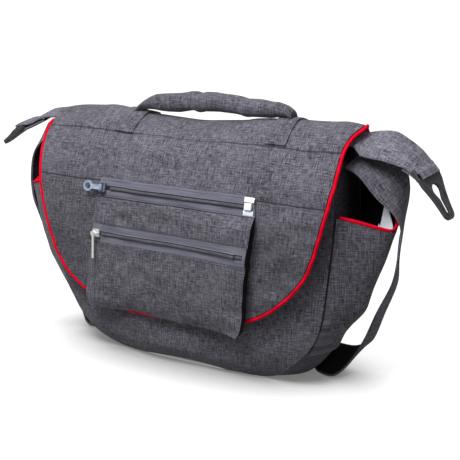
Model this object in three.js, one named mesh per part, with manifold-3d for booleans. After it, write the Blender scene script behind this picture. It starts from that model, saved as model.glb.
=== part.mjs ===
// Wheelchair handle bag: a messenger style bag with a large flap, two open side pockets,
// a zipped pouch on the flap, a padded grab handle, a shoulder strap and two strap clips.
// Millimetres, +Z up. The front faces -Y, and the bag stands on its flat bottom at z = 0.

import * as THREE from 'three';
import { mergeVertices } from 'three/addons/utils/BufferGeometryUtils.js';
import Module from 'manifold-3d';

const wasm = await Module();
wasm.setup();

// Body
const seamHalfWidth = 196;      // front and back seam, from the middle to the side
const seamTopFront = 262;       // height of the body at the front edge of its side
const seamTopBack = 283;        // height of the body at the back
const rightCornerRun = 93;      // rounded lower corners, across
const rightCornerRise = 112;    // rounded lower corners, up
const leftCornerRun = 112;      // the left corner slumps more
const leftCornerRise = 150;
const sideLean = 6;             // how much the sides draw in at corner and top
const seamFront = 54;           // front seam, in front of the ridge
const seamBack = 26;            // back seam, behind the ridge
const gussetBulge = 15;         // how far the side band swells out past the seams
const frontBulge = 16;          // how far the front panel swells out
const backBulge = 6;            // how far the back panel swells out
const panelSquareness = 2.6;    // how flat a panel's swell stays across its middle
const clothWall = 2;            // lined body cloth
const seamGap = 0.35;           // clearance between neighbouring pieces

// Side pockets
const pocketReach = 256;        // how far out the pocket mouth stands, from the bag's middle
const pocketFoot = 42;          // height of the cross seam at the pocket's foot
const pocketMouth = 208;        // height of the mouth at the seams
const mouthSag = 17;            // how much lower the mouth hangs at its tip
const mouthRise = 46;           // how much higher the mouth ends at the back seam
const pocketWall = 1.6;
const pocketSeat = 1.45;        // clearance between a pocket and the side band behind it
const liningWall = 1;
const pipingRadius = 2.2;
const pipingGap = 0.55;         // clearance between piping and the edge it trims
const rimGap = 0.7;             // the same at a pocket's mouth

// Flap
const ridgeHeight = 300;        // top of the bag, under the handle
const flapDepth = 79;           // how far the flap stands forward of the ridge
const flapHem = 66;             // height of the hem
const flapHalfWidth = 204;
const flapWall = 3;
const ridgeRun = 0.14;          // where the ridge lies on the flap's run from its back seam
const ridgeSpread = 0.2;        // how far along the run the ridge's dips reach

// Pouch on the flap
const pouchTop = 226;
const pouchBottom = 66;
const pouchHalfWidth = 109;
const pouchLean = 8;            // how far its foot hangs to the left
const pouchWall = 1.6;
const pouchHollow = 5.2;        // room inside the pouch
const pouchTurn = 14;           // width of the pouch's rounded head and foot
const pouchBackLift = 1.2;      // the pouch's back stands this far off the flap
const lowerTapeTop = 171;
const tapeWidth = 22;
const tapeWall = 1;
const tapeLift = 0.6;           // the upper tape stands this far off the flap
const coilWidth = 5.5;
const coilHeight = 2;
const coilSlope = 0.4;          // run of the coil's side
const coilStart = 0.075;        // share of the tape's length
const coilEnd = 0.94;

// Zip sliders and pulls
const sliderInset = 9;          // how far each slider stands in from the pouch's left edge
const sliderLength = 9;
const sliderWidth = 11.4;
const sliderHeight = 3.4;
const pullLength = 25;          // hinge to the far end of the ring
const pullWidth = 7;
const pullWall = 2.2;
const pullRingRadius = 6.6;
const pullRingHole = 3.9;
const hingePinRadius = 0.9;
const hingeClearance = 0.35;
const hingeBarrel = 2.1;
const lugWall = 1.6;
const lugLength = 3.4;
const weld = 0.2;               // how deep joined parts of one moulding sink into each other
const bridgeLeg = 1.4;          // the lower slider's bridge
const bridgeWall = 1.2;
const dropLength = 31;          // small metal pull on the lower slider
const dropWidth = 3;
const dropWall = 1.1;
const dropEyeRadius = 3.4;
const dropEyeHole = 1.9;
const retainerLength = 9;
const retainerWidth = 8;
const retainerHeight = 3;
const filmLength = 13;
const filmWall = 0.4;

// Handle
const handleThickness = 19;
const handleWidth = 24;
const handleRise = 19.5;         // centre of the grip above the ridge
const handleReach = 105;        // each end, from the middle of the handle
const handleOffset = 11;        // the handle sits a little to the right
const tabWidth = 27;
const tabWall = 2.4;
const tabFoot = 279;            // height of the tab's stitched foot
const tabTopRun = 0.09;         // where the tab starts on the flap's run, behind the ridge

// Straps and clips
const strapWall = 3;
const hookStrapWall = 4;
const strapTop = 262;           // height where the shoulder strap leaves the side
const strapReach = 258;         // how far out the shoulder strap swings
const strapBack = 48;           // how far behind the ridge it runs along the floor
const strapLift = 0.2;          // the strap's edge just clears the floor
const hookSwing = 86;           // how far past the flap the hook strap holds its clip
const hookReach = flapHalfWidth + hookSwing;
const hookHeight = 262;         // height of the clip's bar on the right
const hookFront = -24;          // front edge of the hook straps
const hookBack = 10;            // back edge of the hook straps
const clipLength = 56;
const rightClipTilt = 58;       // degrees that each clip drops below level
const leftClipTilt = 32;
const leftClipSwing = 10;       // degrees that the left clip swings back
const clipHalfWidth = 20;
const clipTip = 8.4;            // half the clip's width near its tip
const clipWall = 4.6;
const clipGap = 0.9;            // clearance between a strap's end and its clip
const hookSeat = 0.74;          // extra clearance of the hook strap's root under the flap
const hookRootFront = 0.072;    // the root's edges, on the flap's run from its ridge
const hookRootBack = -0.025;
const clipEyeWide = 8;        // radius of the eye's wide end
const clipEyeNarrow = 3.9;      // radius of the eye's narrow end

const heather = { color: 0x5c5a63, roughness: 0.95, metalness: 0 };
const heatherDark = { color: 0x2a2830, roughness: 0.95, metalness: 0 };
const heatherLight = { color: 0x6b6973, roughness: 0.95, metalness: 0 };
const whiteLining = { color: 0xd8dbe6, roughness: 0.9, metalness: 0 };
const redPiping = { color: 0xe0002d, roughness: 0.6, metalness: 0 };
const zipTape = { color: 0x73757f, roughness: 0.9, metalness: 0 };
const pullPlastic = { color: 0xa5afc8, roughness: 0.4, metalness: 0 };
const clearPlastic = { color: 0xe8ecf2, roughness: 0.25, metalness: 0 };
const zipMetal = { color: 0xb9bcc2, roughness: 0.3, metalness: 1 };
const hookPlastic = { color: 0x46464e, roughness: 0.5, metalness: 0 };

const bag = new THREE.Group();

function vec(x, y, z) {
  return new THREE.Vector3(x, y, z);
}

function mix(a, b, share) {
  return a + (b - a) * share;
}

// Smooth value between the rows of a table, read at one column and returned from another.
function between(rows, key, value, at) {
  const last = rows.length - 1;
  if (at <= rows[0][key]) return rows[0][value];
  if (at >= rows[last][key]) return rows[last][value];
  let i = 0;
  while (at > rows[i + 1][key]) i += 1;
  const a = rows[i];
  const b = rows[i + 1];
  const step = b[key] - a[key];
  const slope = (from, to) => ((to[value] - from[value]) / (to[key] - from[key])) * step;
  const slopeA = slope(rows[Math.max(i - 1, 0)], b);
  const slopeB = slope(a, rows[Math.min(i + 2, last)]);
  const t = (at - a[key]) / step;
  const t2 = t * t;
  const t3 = t2 * t;
  const ends = (2 * t3 - 3 * t2 + 1) * a[value] + (3 * t2 - 2 * t3) * b[value];
  return ends + (t3 - 2 * t2 + t) * slopeA + (t3 - t2) * slopeB;
}

function fromTriangles(points, triangles) {
  const geometry = new THREE.BufferGeometry();
  const flat = points.flatMap((p) => [p.x, p.y, p.z]);
  geometry.setAttribute('position', new THREE.Float32BufferAttribute(flat, 3));
  geometry.setIndex(triangles.flat());
  return facingOut(geometry);
}

// Turns the faces round when the volume they enclose comes out negative.
function facingOut(geometry) {
  const position = geometry.attributes.position;
  const index = geometry.index.array;
  const a = new THREE.Vector3();
  const b = new THREE.Vector3();
  const c = new THREE.Vector3();
  let volume = 0;
  for (let i = 0; i < index.length; i += 3) {
    a.fromBufferAttribute(position, index[i]);
    b.fromBufferAttribute(position, index[i + 1]);
    c.fromBufferAttribute(position, index[i + 2]);
    volume += a.dot(b.cross(c));
  }
  if (volume < 0) {
    for (let i = 0; i < index.length; i += 3) {
      const swap = index[i];
      index[i] = index[i + 1];
      index[i + 1] = swap;
    }
  }
  return geometry;
}

// A cloth wall: place(u, v) gives its outer skin for u and v from 0 to 1, and the wall
// is made thick towards the direction inward(point).
function clothSheet(place, thickness, across, down, inward) {
  const outer = [];
  const inner = [];
  const small = 1e-3;
  for (let j = 0; j <= down; j += 1) {
    for (let i = 0; i <= across; i += 1) {
      const u = i / across;
      const v = j / down;
      const point = place(u, v);
      const du = place(Math.min(u + small, 1), v).sub(place(Math.max(u - small, 0), v));
      const dv = place(u, Math.min(v + small, 1)).sub(place(u, Math.max(v - small, 0)));
      const normal = du.cross(dv).normalize();
      if (normal.dot(inward(point)) < 0) normal.negate();
      outer.push(point);
      inner.push(point.clone().addScaledVector(normal, thickness));
    }
  }
  const row = across + 1;
  const shift = outer.length;
  const triangles = [];
  const quad = (a, b, c, d) => triangles.push([a, b, c], [a, c, d]);
  for (let j = 0; j < down; j += 1) {
    for (let i = 0; i < across; i += 1) {
      const a = j * row + i;
      quad(a, a + 1, a + row + 1, a + row);
      quad(shift + a, shift + a + row, shift + a + row + 1, shift + a + 1);
    }
  }
  for (let i = 0; i < across; i += 1) {
    const b = down * row + i;
    quad(i, shift + i, shift + i + 1, i + 1);
    quad(b, b + 1, shift + b + 1, shift + b);
  }
  for (let j = 0; j < down; j += 1) {
    const a = j * row;
    const b = a + across;
    quad(a, a + row, shift + a + row, shift + a);
    quad(b, shift + b, shift + b + row, b + row);
  }
  return fromTriangles(outer.concat(inner), triangles);
}

// A solid through a list of rings that all hold the same number of points.
function loft(rings) {
  const count = rings[0].length;
  const points = rings.flat();
  const triangles = [];
  for (let j = 0; j < rings.length - 1; j += 1) {
    for (let i = 0; i < count; i += 1) {
      const a = j * count + i;
      const b = j * count + ((i + 1) % count);
      triangles.push([a, b, b + count], [a, b + count, a + count]);
    }
  }
  const end = (rings.length - 1) * count;
  for (let i = 1; i < count - 1; i += 1) {
    triangles.push([0, i + 1, i], [end, end + i, end + i + 1]);
  }
  return fromTriangles(points, triangles);
}

// A flat strap through stations that give its two edges, front and back.
function ribbon(stations, thickness, steps) {
  const front = new THREE.CatmullRomCurve3(stations.map((s) => s.front), false, 'centripetal');
  const back = new THREE.CatmullRomCurve3(stations.map((s) => s.back), false, 'centripetal');
  const rings = [];
  for (let i = 0; i <= steps; i += 1) {
    const t = i / steps;
    const a = front.getPoint(t);
    const b = back.getPoint(t);
    const along = front.getTangent(t).add(back.getTangent(t)).normalize();
    const acrossWay = b.clone().sub(a).normalize();
    const normal = acrossWay.clone().cross(along).normalize().multiplyScalar(thickness / 2);
    rings.push([a.clone().add(normal), b.clone().add(normal), b.clone().sub(normal), a.clone().sub(normal)]);
  }
  return loft(rings);
}

// A round cord along a list of points.
function piping(points, radius, steps) {
  const sides = 8;
  const corners = [];
  for (let i = 0; i < sides; i += 1) {
    const angle = (2 * Math.PI * i) / sides;
    corners.push(new THREE.Vector2(radius * Math.cos(angle), radius * Math.sin(angle)));
  }
  const section = new THREE.Shape(corners);
  const path = new THREE.CatmullRomCurve3(points, false, 'centripetal');
  return new THREE.ExtrudeGeometry(section, {
    steps, bevelEnabled: false, extrudePath: path,
  });
}

function solid(geometry) {
  const bare = geometry.clone();
  bare.deleteAttribute('normal');
  bare.deleteAttribute('uv');
  const merged = mergeVertices(bare, 1e-4);
  return new wasm.Manifold(new wasm.Mesh({
    numProp: 3,
    vertProperties: new Float32Array(merged.attributes.position.array),
    triVerts: new Uint32Array(merged.index.array),
  }));
}

function geometryOf(manifold) {
  const mesh = manifold.getMesh();
  const geometry = new THREE.BufferGeometry();
  const position = [];
  for (let i = 0; i < mesh.vertProperties.length; i += mesh.numProp) {
    position.push(mesh.vertProperties[i], mesh.vertProperties[i + 1], mesh.vertProperties[i + 2]);
  }
  geometry.setAttribute('position', new THREE.Float32BufferAttribute(position, 3));
  geometry.setIndex(Array.from(mesh.triVerts));
  return geometry;
}

function addPiece(name, geometry, finish, parent = bag) {
  const mesh = new THREE.Mesh(geometry, new THREE.MeshStandardMaterial(finish));
  mesh.name = name;
  parent.add(mesh);
}

// Body outline: half the width of the seams at a height, on the right (1) or left (-1).
function cornerOf(side) {
  if (side > 0) return { run: rightCornerRun, rise: rightCornerRise };
  return { run: leftCornerRun, rise: leftCornerRise };
}

function sideHalfWidth(z, side) {
  const { rise } = cornerOf(side);
  const share = Math.min((z - rise) / (seamTopBack - rise), 1);
  return seamHalfWidth - sideLean * (1 - Math.sin(Math.PI * share));
}

function bodyHalfWidth(z, side) {
  const corner = cornerOf(side);
  if (z >= corner.rise) return sideHalfWidth(z, side);
  const drop = 1 - z / corner.rise;
  return seamHalfWidth - sideLean - corner.run * (1 - Math.sqrt(Math.max(1 - drop * drop, 0)));
}

const seamDepthRows = [
  { up: 0, depth: 0.82 },
  { up: 0.12, depth: 0.97 },
  { up: 0.38, depth: 1 },
  { up: 0.62, depth: 0.97 },
  { up: 0.8, depth: 0.91 },
  { up: 1, depth: 0.76 },
];

function seamDepth(z) {
  return -seamFront * between(seamDepthRows, 'up', 'depth', z / seamTopFront);
}

// The seam as one run from the middle of the bottom (t = 0) to the top of a side (t = 1).
const bottomShare = 0.22;
const cornerShare = 0.62;

function seamSpot(t, top, side) {
  const corner = cornerOf(side);
  const straight = seamHalfWidth - sideLean - corner.run;
  if (t < bottomShare) return { x: straight * (t / bottomShare), z: 0, outX: 0, outZ: -1 };
  if (t < cornerShare) {
    const turn = ((t - bottomShare) / (cornerShare - bottomShare)) * (Math.PI / 2);
    return {
      x: straight + corner.run * Math.sin(turn),
      z: corner.rise * (1 - Math.cos(turn)),
      outX: Math.sin(turn),
      outZ: -Math.cos(turn),
    };
  }
  const z = mix(corner.rise, top, (t - cornerShare) / (1 - cornerShare));
  return { x: sideHalfWidth(z, side), z, outX: 1, outZ: 0 };
}

const gussetBulgeRows = [
  { t: 0, bulge: 0.1 },
  { t: 0.22, bulge: 0.4 },
  { t: 0.34, bulge: 1 },
  { t: 0.5, bulge: 0.85 },
  { t: 0.62, bulge: 0.5 },
  { t: 1, bulge: 0.35 },
];

// The side band between the front and back seams, all round from one top to the other.
function gussetSpot(u, v) {
  const run = 2 * u - 1;
  const t = Math.abs(run);
  const top = mix(seamTopFront, seamTopBack, v);
  const seam = seamSpot(t, top, Math.sign(run));
  const swell = gussetBulge * between(gussetBulgeRows, 't', 'bulge', t) * Math.sin(Math.PI * v);
  const front = seamDepth(seam.z) + seamGap;
  const y = mix(front, seamBack - seamGap, v);
  const z = Math.max(seam.z + seam.outZ * swell, 0);
  return vec(Math.sign(run) * (seam.x + seam.outX * swell), y, z);
}

// Half the width of the side band's outer skin at a height.
function gussetHalfWidth(z, v, side) {
  let low = 0.5;
  let high = 1;
  const at = (share) => gussetSpot(side > 0 ? share : 1 - share, v);
  for (let i = 0; i < 30; i += 1) {
    const middle = (low + high) / 2;
    if (at(middle).z < z) low = middle;
    else high = middle;
  }
  return Math.abs(at(low).x);
}

function buildBody() {
  const middle = vec(0, (seamBack - seamFront) / 2, seamTopFront / 2);
  const inward = (point) => middle.clone().sub(point);
  addPiece('gusset', clothSheet(gussetSpot, clothWall, 40, 5, inward), heatherDark);

  const bulgeRows = [
    { up: 0, bulge: 0.1 },
    { up: 0.08, bulge: 0.6 },
    { up: 0.25, bulge: 0.96 },
    { up: 0.58, bulge: 1 },
    { up: 0.84, bulge: 0.55 },
    { up: 1, bulge: 0.1 },
  ];
  const frontPanel = (u, v) => {
    const z = seamTopFront * v * v * (1.5 - 0.5 * v);
    const run = 2 * u - 1;
    const swell = frontBulge * between(bulgeRows, 'up', 'bulge', v) * (1 - Math.abs(run) ** panelSquareness);
    return vec(run * bodyHalfWidth(z, run), seamDepth(z) - clothWall - swell, z);
  };
  addPiece('front_panel', clothSheet(frontPanel, clothWall, 16, 12, () => vec(0, 1, 0)), heather);

  const backPanel = (u, v) => {
    const z = seamTopBack * v * v * (1.5 - 0.5 * v);
    const run = 2 * u - 1;
    const swell = backBulge * Math.sin(Math.PI * Math.min(v + 0.1, 1)) * (1 - Math.abs(run) ** panelSquareness);
    return vec(run * bodyHalfWidth(z, run), seamBack + clothWall + swell, z);
  };
  addPiece('back_panel', clothSheet(backPanel, clothWall, 14, 10, () => vec(0, -1, 0)), heatherDark);
}

// Side pocket: how far out its tip stands at each height, as a share of the mouth's reach.
const pocketRows = [
  { up: 0, tip: 0.65 },
  { up: 0.09, tip: 0.73 },
  { up: 0.26, tip: 0.835 },
  { up: 0.36, tip: 0.875 },
  { up: 0.5, tip: 0.908 },
  { up: 0.72, tip: 0.951 },
  { up: 0.9, tip: 0.986 },
  { up: 1, tip: 1 },
];
const pocketTip = 0.42;         // where the tip lies between the front and back seam
const pocketRing = [
  { v: 0, out: 0 },
  { v: 0.12, out: 0.42 },
  { v: 0.28, out: 0.86 },
  { v: 0.42, out: 1 },
  { v: 0.58, out: 0.93 },
  { v: 0.8, out: 0.56 },
  { v: 1, out: 0 },
];

function pocketSpot(side, up, v, lift) {
  const sag = mouthSag * up * Math.sin(Math.PI * v) ** 1.3;
  const rise = mouthRise * up * THREE.MathUtils.smoothstep(v, pocketTip, 1);
  const z = mix(pocketFoot, pocketMouth, up) - sag + rise;
  const ring = between(pocketRing, 'v', 'out', v);
  const seat = pocketSeat + pocketWall;
  const tip = pocketReach * between(pocketRows, 'up', 'tip', up);
  const bulge = Math.max(tip - gussetHalfWidth(z, pocketTip, side) - seat, 0);
  const front = seamDepth(z) + 2 * seamGap + lift;
  const y = mix(front, seamBack - seamGap - lift, v);
  const out = gussetHalfWidth(z, v, side) + seat + Math.max(bulge * ring - lift, 0);
  return vec(side * out, y, z);
}

function buildPocket(side, name) {
  const centre = vec(0, (seamBack - seamFront) / 2, pocketMouth * 0.7);
  const inward = (point) => centre.clone().sub(point);
  const panel = (u, v) => pocketSpot(side, u, v, 0);
  addPiece(`side_pocket_${name}`, clothSheet(panel, pocketWall, 8, 12, inward), heather);

  const backing = pocketWall + 3 * seamGap;
  const lining = (u, v) => pocketSpot(side, mix(0.25, 0.985, u), mix(0.08, 0.92, v), backing);
  addPiece(`pocket_lining_${name}`, clothSheet(lining, liningWall, 6, 10, inward), whiteLining);

  const rim = [];
  for (let i = 0; i <= 12; i += 1) {
    const v = mix(0.02, 0.98, i / 12);
    const spot = pocketSpot(side, 1, v, pocketWall / 2);
    const step = pocketSpot(side, 1, v + 0.01, pocketWall / 2).sub(spot);
    const steepness = step.length() / Math.hypot(step.x, step.y);
    rim.push(spot.add(vec(0, 0, (pipingRadius + rimGap) * steepness)));
  }
  addPiece(`pocket_piping_${name}`, piping(rim, pipingRadius, 14), redPiping);
}

// Flap: its run from the back seam over the ridge to the hem, in shares of its sizes.
const flapRows = [
  { run: 0, depth: -0.43, up: 0.872, left: 1.04, right: 1.03 },
  { run: 0.04, depth: -0.43, up: 0.923, left: 1.045, right: 1.035 },
  { run: 0.08, depth: -0.36, up: 0.968, left: 1.05, right: 1.04 },
  { run: 0.14, depth: 0, up: 1, left: 1.05, right: 1.045 },
  { run: 0.2, depth: 0.25, up: 0.966, left: 1.015, right: 0.99 },
  { run: 0.26, depth: 0.48, up: 0.91, left: 1.018, right: 0.972 },
  { run: 0.34, depth: 0.72, up: 0.803, left: 1.005, right: 0.972 },
  { run: 0.44, depth: 0.9, up: 0.662, left: 0.975, right: 0.955 },
  { run: 0.54, depth: 0.965, up: 0.513, left: 0.937, right: 0.917 },
  { run: 0.66, depth: 1, up: 0.333, left: 0.87, right: 0.848 },
  { run: 0.76, depth: 1, up: 0.2, left: 0.8, right: 0.725 },
  { run: 0.85, depth: 0.992, up: 0.103, left: 0.685, right: 0.585 },
  { run: 0.93, depth: 0.984, up: 0.038, left: 0.5, right: 0.41 },
  { run: 1, depth: 0.976, up: 0, left: 0.29, right: 0.25 },
];

// The ridge sags under the handle and drops away at the left corner.
const ridgeRows = [
  { out: -1.1, up: -0.03 },
  { out: -1, up: 0 },
  { out: -0.88, up: 0.01 },
  { out: -0.67, up: 0.017 },
  { out: -0.5, up: 0.003 },
  { out: -0.25, up: -0.01 },
  { out: -0.04, up: -0.016 },
  { out: 0.24, up: 0.003 },
  { out: 0.47, up: 0.017 },
  { out: 0.7, up: 0.027 },
  { out: 0.9, up: 0.036 },
  { out: 1.05, up: 0.03 },
];

function flapProfile(run) {
  return {
    y: -flapDepth * between(flapRows, 'run', 'depth', run),
    z: mix(flapHem, ridgeHeight, between(flapRows, 'run', 'up', run)),
    left: -flapHalfWidth * between(flapRows, 'run', 'left', run),
    right: flapHalfWidth * between(flapRows, 'run', 'right', run),
  };
}

function flapSpot(x, run) {
  const row = flapProfile(run);
  const crest = Math.max(0, 1 - Math.abs(run - ridgeRun) / ridgeSpread);
  const raise = ridgeHeight * between(ridgeRows, 'out', 'up', x / flapHalfWidth) * crest;
  return vec(x, row.y, row.z + raise);
}

// The outward direction of the flap's skin, in the plane across the bag.
function flapNormal(x, run) {
  const step = 0.004;
  const before = flapSpot(x, Math.max(run - step, 0));
  const after = flapSpot(x, Math.min(run + step, 1));
  const along = after.sub(before).normalize();
  return vec(0, along.z, -along.y).normalize();
}

function overFlap(x, run, lift) {
  return flapSpot(x, run).addScaledVector(flapNormal(x, run), lift);
}

// The run on the front of the flap that lies at a height.
function runAtHeight(z) {
  let low = ridgeRun;
  let high = 1;
  for (let i = 0; i < 40; i += 1) {
    const middle = (low + high) / 2;
    if (flapProfile(middle).z > z) low = middle;
    else high = middle;
  }
  return (low + high) / 2;
}

function onFront(x, z, lift) {
  return overFlap(x, runAtHeight(z), lift);
}

// The trimmed edge of the flap on one side, from the back seam to the hem.
function flapEdge(side) {
  const edge = [];
  const steps = 24;
  const reach = pipingRadius + pipingGap;
  const halfAt = (run) => Math.abs(side > 0 ? flapProfile(run).right : flapProfile(run).left);
  for (let i = 0; i <= steps; i += 1) {
    const run = mix(0.01, 1, i / steps);
    const before = Math.max(run - 0.01, 0);
    const after = Math.min(run + 0.01, 1);
    const drop = flapSpot(0, after).distanceTo(flapSpot(0, before));
    const inset = halfAt(before) - halfAt(after);
    const long = Math.hypot(drop, inset);
    const spot = overFlap(side * (halfAt(run) + (reach * drop) / long), run, -flapWall / 2);
    spot.z -= (reach * Math.max(inset, 0)) / long;
    edge.push(spot);
  }
  return edge;
}

function buildFlap() {
  const skin = (u, v) => {
    const row = flapProfile(v);
    return flapSpot(mix(row.left, row.right, u), v);
  };
  const inward = (point) => vec(0, -point.y, ridgeHeight / 2 - point.z);
  addPiece('flap', clothSheet(skin, flapWall, 16, 23, inward), heatherLight);

  const foot = overFlap(0, 1, -flapWall / 2);
  foot.z -= pipingRadius + pipingGap;
  const route = flapEdge(1).concat([foot], flapEdge(-1).reverse());
  addPiece('flap_piping', piping(route, pipingRadius, 68), redPiping);
}

// Pouch: its left and right edges lean a little as it hangs.
const pouchRows = [
  { down: 0, left: 0.97, right: 0.98, lean: 0 },
  { down: 0.13, left: 0.98, right: 1.02, lean: 0 },
  { down: 0.35, left: 1, right: 1.02, lean: 0.25 },
  { down: 0.9, left: 1, right: 0.98, lean: 1 },
  { down: 1, left: 0.96, right: 0.9, lean: 1 },
];

function pouchEdges(z) {
  const down = (pouchTop - z) / (pouchTop - pouchBottom);
  const shift = pouchLean * between(pouchRows, 'down', 'lean', down);
  return {
    left: -pouchHalfWidth * between(pouchRows, 'down', 'left', down) - shift,
    right: pouchHalfWidth * between(pouchRows, 'down', 'right', down) - shift,
  };
}

function pouchSpot(u, z, lift, margin = 0) {
  const edges = pouchEdges(z);
  return onFront(mix(edges.left + margin, edges.right - margin, u), z, lift);
}

const upperTapeFoot = pouchTop - tapeWidth;
const lowerTapeFoot = lowerTapeTop - tapeWidth;
const pouchFrontLift = pouchBackLift + pouchWall + pouchHollow;

// The front wall stands clear of the back wall and comes down to it at the edges.
function pouchCrown(u, z) {
  const side = 1 - Math.abs(2 * u - 1) ** 4;
  const foot = Math.min((z - pouchBottom) / pouchTurn, 1);
  const head = Math.min((upperTapeFoot - z) / pouchTurn + 0.3, 1);
  const full = side * Math.max(Math.min(foot, head), 0);
  return mix(pouchBackLift + pouchWall + seamGap * 2, pouchFrontLift, Math.sqrt(full));
}

function buildPouch() {
  const inward = () => vec(0, -1, 0);
  const back = (u, v) => pouchSpot(u, mix(upperTapeFoot - 1, pouchBottom, v), pouchBackLift);
  addPiece('pouch_back', clothSheet(back, pouchWall, 8, 10, inward), heather);

  const frontPart = (top, bottom) => (u, v) => {
    const z = mix(top, bottom, v);
    return pouchSpot(u, z, pouchCrown(u, z));
  };
  const upper = frontPart(upperTapeFoot - seamGap, lowerTapeTop + seamGap);
  addPiece('pouch_front_upper', clothSheet(upper, pouchWall, 12, 3, inward), heather);
  const lower = frontPart(lowerTapeFoot - seamGap, pouchBottom);
  addPiece('pouch_front_lower', clothSheet(lower, pouchWall, 12, 6, inward), heather);
}

// A zip: flat tape with a raised row of teeth along its middle.
function zipSection(u, top, bottom, liftAt, coil) {
  const middle = (top + bottom) / 2;
  const halfCoil = coilWidth / 2;
  const rows = [
    { z: top, lift: tapeWall },
    { z: middle + halfCoil, lift: tapeWall },
    { z: middle + halfCoil - coilSlope, lift: tapeWall + coilHeight * coil },
    { z: middle - halfCoil + coilSlope, lift: tapeWall + coilHeight * coil },
    { z: middle - halfCoil, lift: tapeWall },
    { z: bottom, lift: tapeWall },
  ];
  const skin = rows.map((row) => pouchSpot(u, row.z, liftAt(u, row.z) + row.lift));
  const base = [...rows].reverse().map((row) => pouchSpot(u, row.z, liftAt(u, row.z)));
  return skin.concat(base);
}

function buildZips() {
  const shares = (count) => {
    const list = [0, coilStart - 0.001];
    for (let i = 0; i <= count; i += 1) list.push(mix(coilStart, coilEnd, i / count));
    list.push(coilEnd + 0.001, 1);
    return list;
  };
  const hasCoil = (u) => (u >= coilStart && u <= coilEnd ? 1 : 0.02);
  const flat = () => tapeLift;
  const upper = shares(8).map((u) => zipSection(u, pouchTop, upperTapeFoot, flat, hasCoil(u)));
  addPiece('zip_upper', loft(upper), zipTape);
  const crown = (u, z) => pouchCrown(u, z);
  const lower = shares(8).map((u) => zipSection(u, lowerTapeTop, lowerTapeFoot, crown, hasCoil(u)));
  addPiece('zip_lower', loft(lower), zipTape);
}

// A group that stands on the flap's front: local X to the right, Y up the cloth, Z out of it.
function stand(x, z, lift) {
  const run = runAtHeight(z);
  const out = flapNormal(x, run);
  const right = vec(1, 0, 0);
  const up = out.clone().cross(right).normalize();
  const group = new THREE.Group();
  group.applyMatrix4(new THREE.Matrix4().makeBasis(right, up, out));
  group.position.copy(overFlap(x, run, lift));
  bag.add(group);
  return group;
}

function block(sizeX, sizeY, sizeZ, x, y, z) {
  return new THREE.BoxGeometry(sizeX, sizeY, sizeZ).translate(x, y, z);
}

function post(radius, length, x, y, z) {
  return new THREE.CylinderGeometry(radius, radius, length, 16).translate(x, y, z);
}

const hingeHeight = sliderHeight + hingeBarrel + 0.5;

function buildUpperSlider() {
  const place = stand(sliderInset - pouchHalfWidth, pouchTop - tapeWidth / 2, tapeLift + tapeWall + seamGap);
  const lugOffset = pullWidth / 2 + hingeClearance + lugWall / 2;
  let body = solid(block(sliderLength, sliderWidth, sliderHeight, 0, 0, sliderHeight / 2));
  const lugHeight = hingeHeight - sliderHeight + hingeBarrel * 0.8;
  for (const side of [-1, 1]) {
    const middle = sliderHeight + (lugHeight - weld) / 2;
    body = body.add(solid(block(lugLength, lugWall, lugHeight + weld, 0, side * lugOffset, middle)));
  }
  body = body.add(solid(post(hingePinRadius, 2 * lugOffset, 0, 0, hingeHeight)));
  addPiece('zip_slider_upper', geometryOf(body), zipMetal, place);

  // The pull turns on the pin and lies pointing to the left.
  const outline = new THREE.Shape();
  const waist = pullWidth * 0.42;
  const ringX = -pullLength + pullRingRadius;
  outline.moveTo(0, waist);
  outline.lineTo(ringX + pullRingRadius * 0.8, waist);
  outline.absarc(ringX, 0, pullRingRadius, Math.PI * 0.17, Math.PI * 1.83, false);
  outline.lineTo(0, -waist);
  const eye = new THREE.Path();
  eye.absarc(ringX, 0, pullRingHole, 0, Math.PI * 2, true);
  outline.holes.push(eye);
  const plate = new THREE.ExtrudeGeometry(outline, { depth: pullWall, bevelEnabled: false, curveSegments: 10 });
  plate.translate(0, 0, hingeHeight - pullWall / 2);
  let pull = solid(plate).add(solid(post(hingeBarrel, pullWidth, 0, 0, hingeHeight)));
  const bore = post(hingePinRadius + hingeClearance, 2 * pullWidth, 0, 0, hingeHeight);
  pull = pull.subtract(solid(bore));
  addPiece('zip_pull_upper', geometryOf(pull), pullPlastic, place);
}

function buildRetainer() {
  const middle = pouchTop - tapeWidth / 2;
  const x = pouchHalfWidth * 0.98 - retainerLength / 2;
  const box = stand(x, middle, tapeLift + tapeWall + seamGap + 0.1);
  addPiece('zip_retainer_box', block(retainerLength, retainerWidth, retainerHeight, 0, 0, retainerHeight / 2),
    clearPlastic, box);
  const filmHeight = (tapeWidth - retainerWidth) / 2 - 1.2;
  for (const [name, side] of [['upper', 1], ['lower', -1]]) {
    const offset = side * (retainerWidth / 2 + filmHeight / 2 + 0.4);
    const spot = stand(x, middle + offset, tapeLift + tapeWall + seamGap + 0.2);
    addPiece(`zip_film_${name}`, block(filmLength, filmHeight, filmWall, 0, 0, filmWall / 2), clearPlastic, spot);
  }
}

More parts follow.
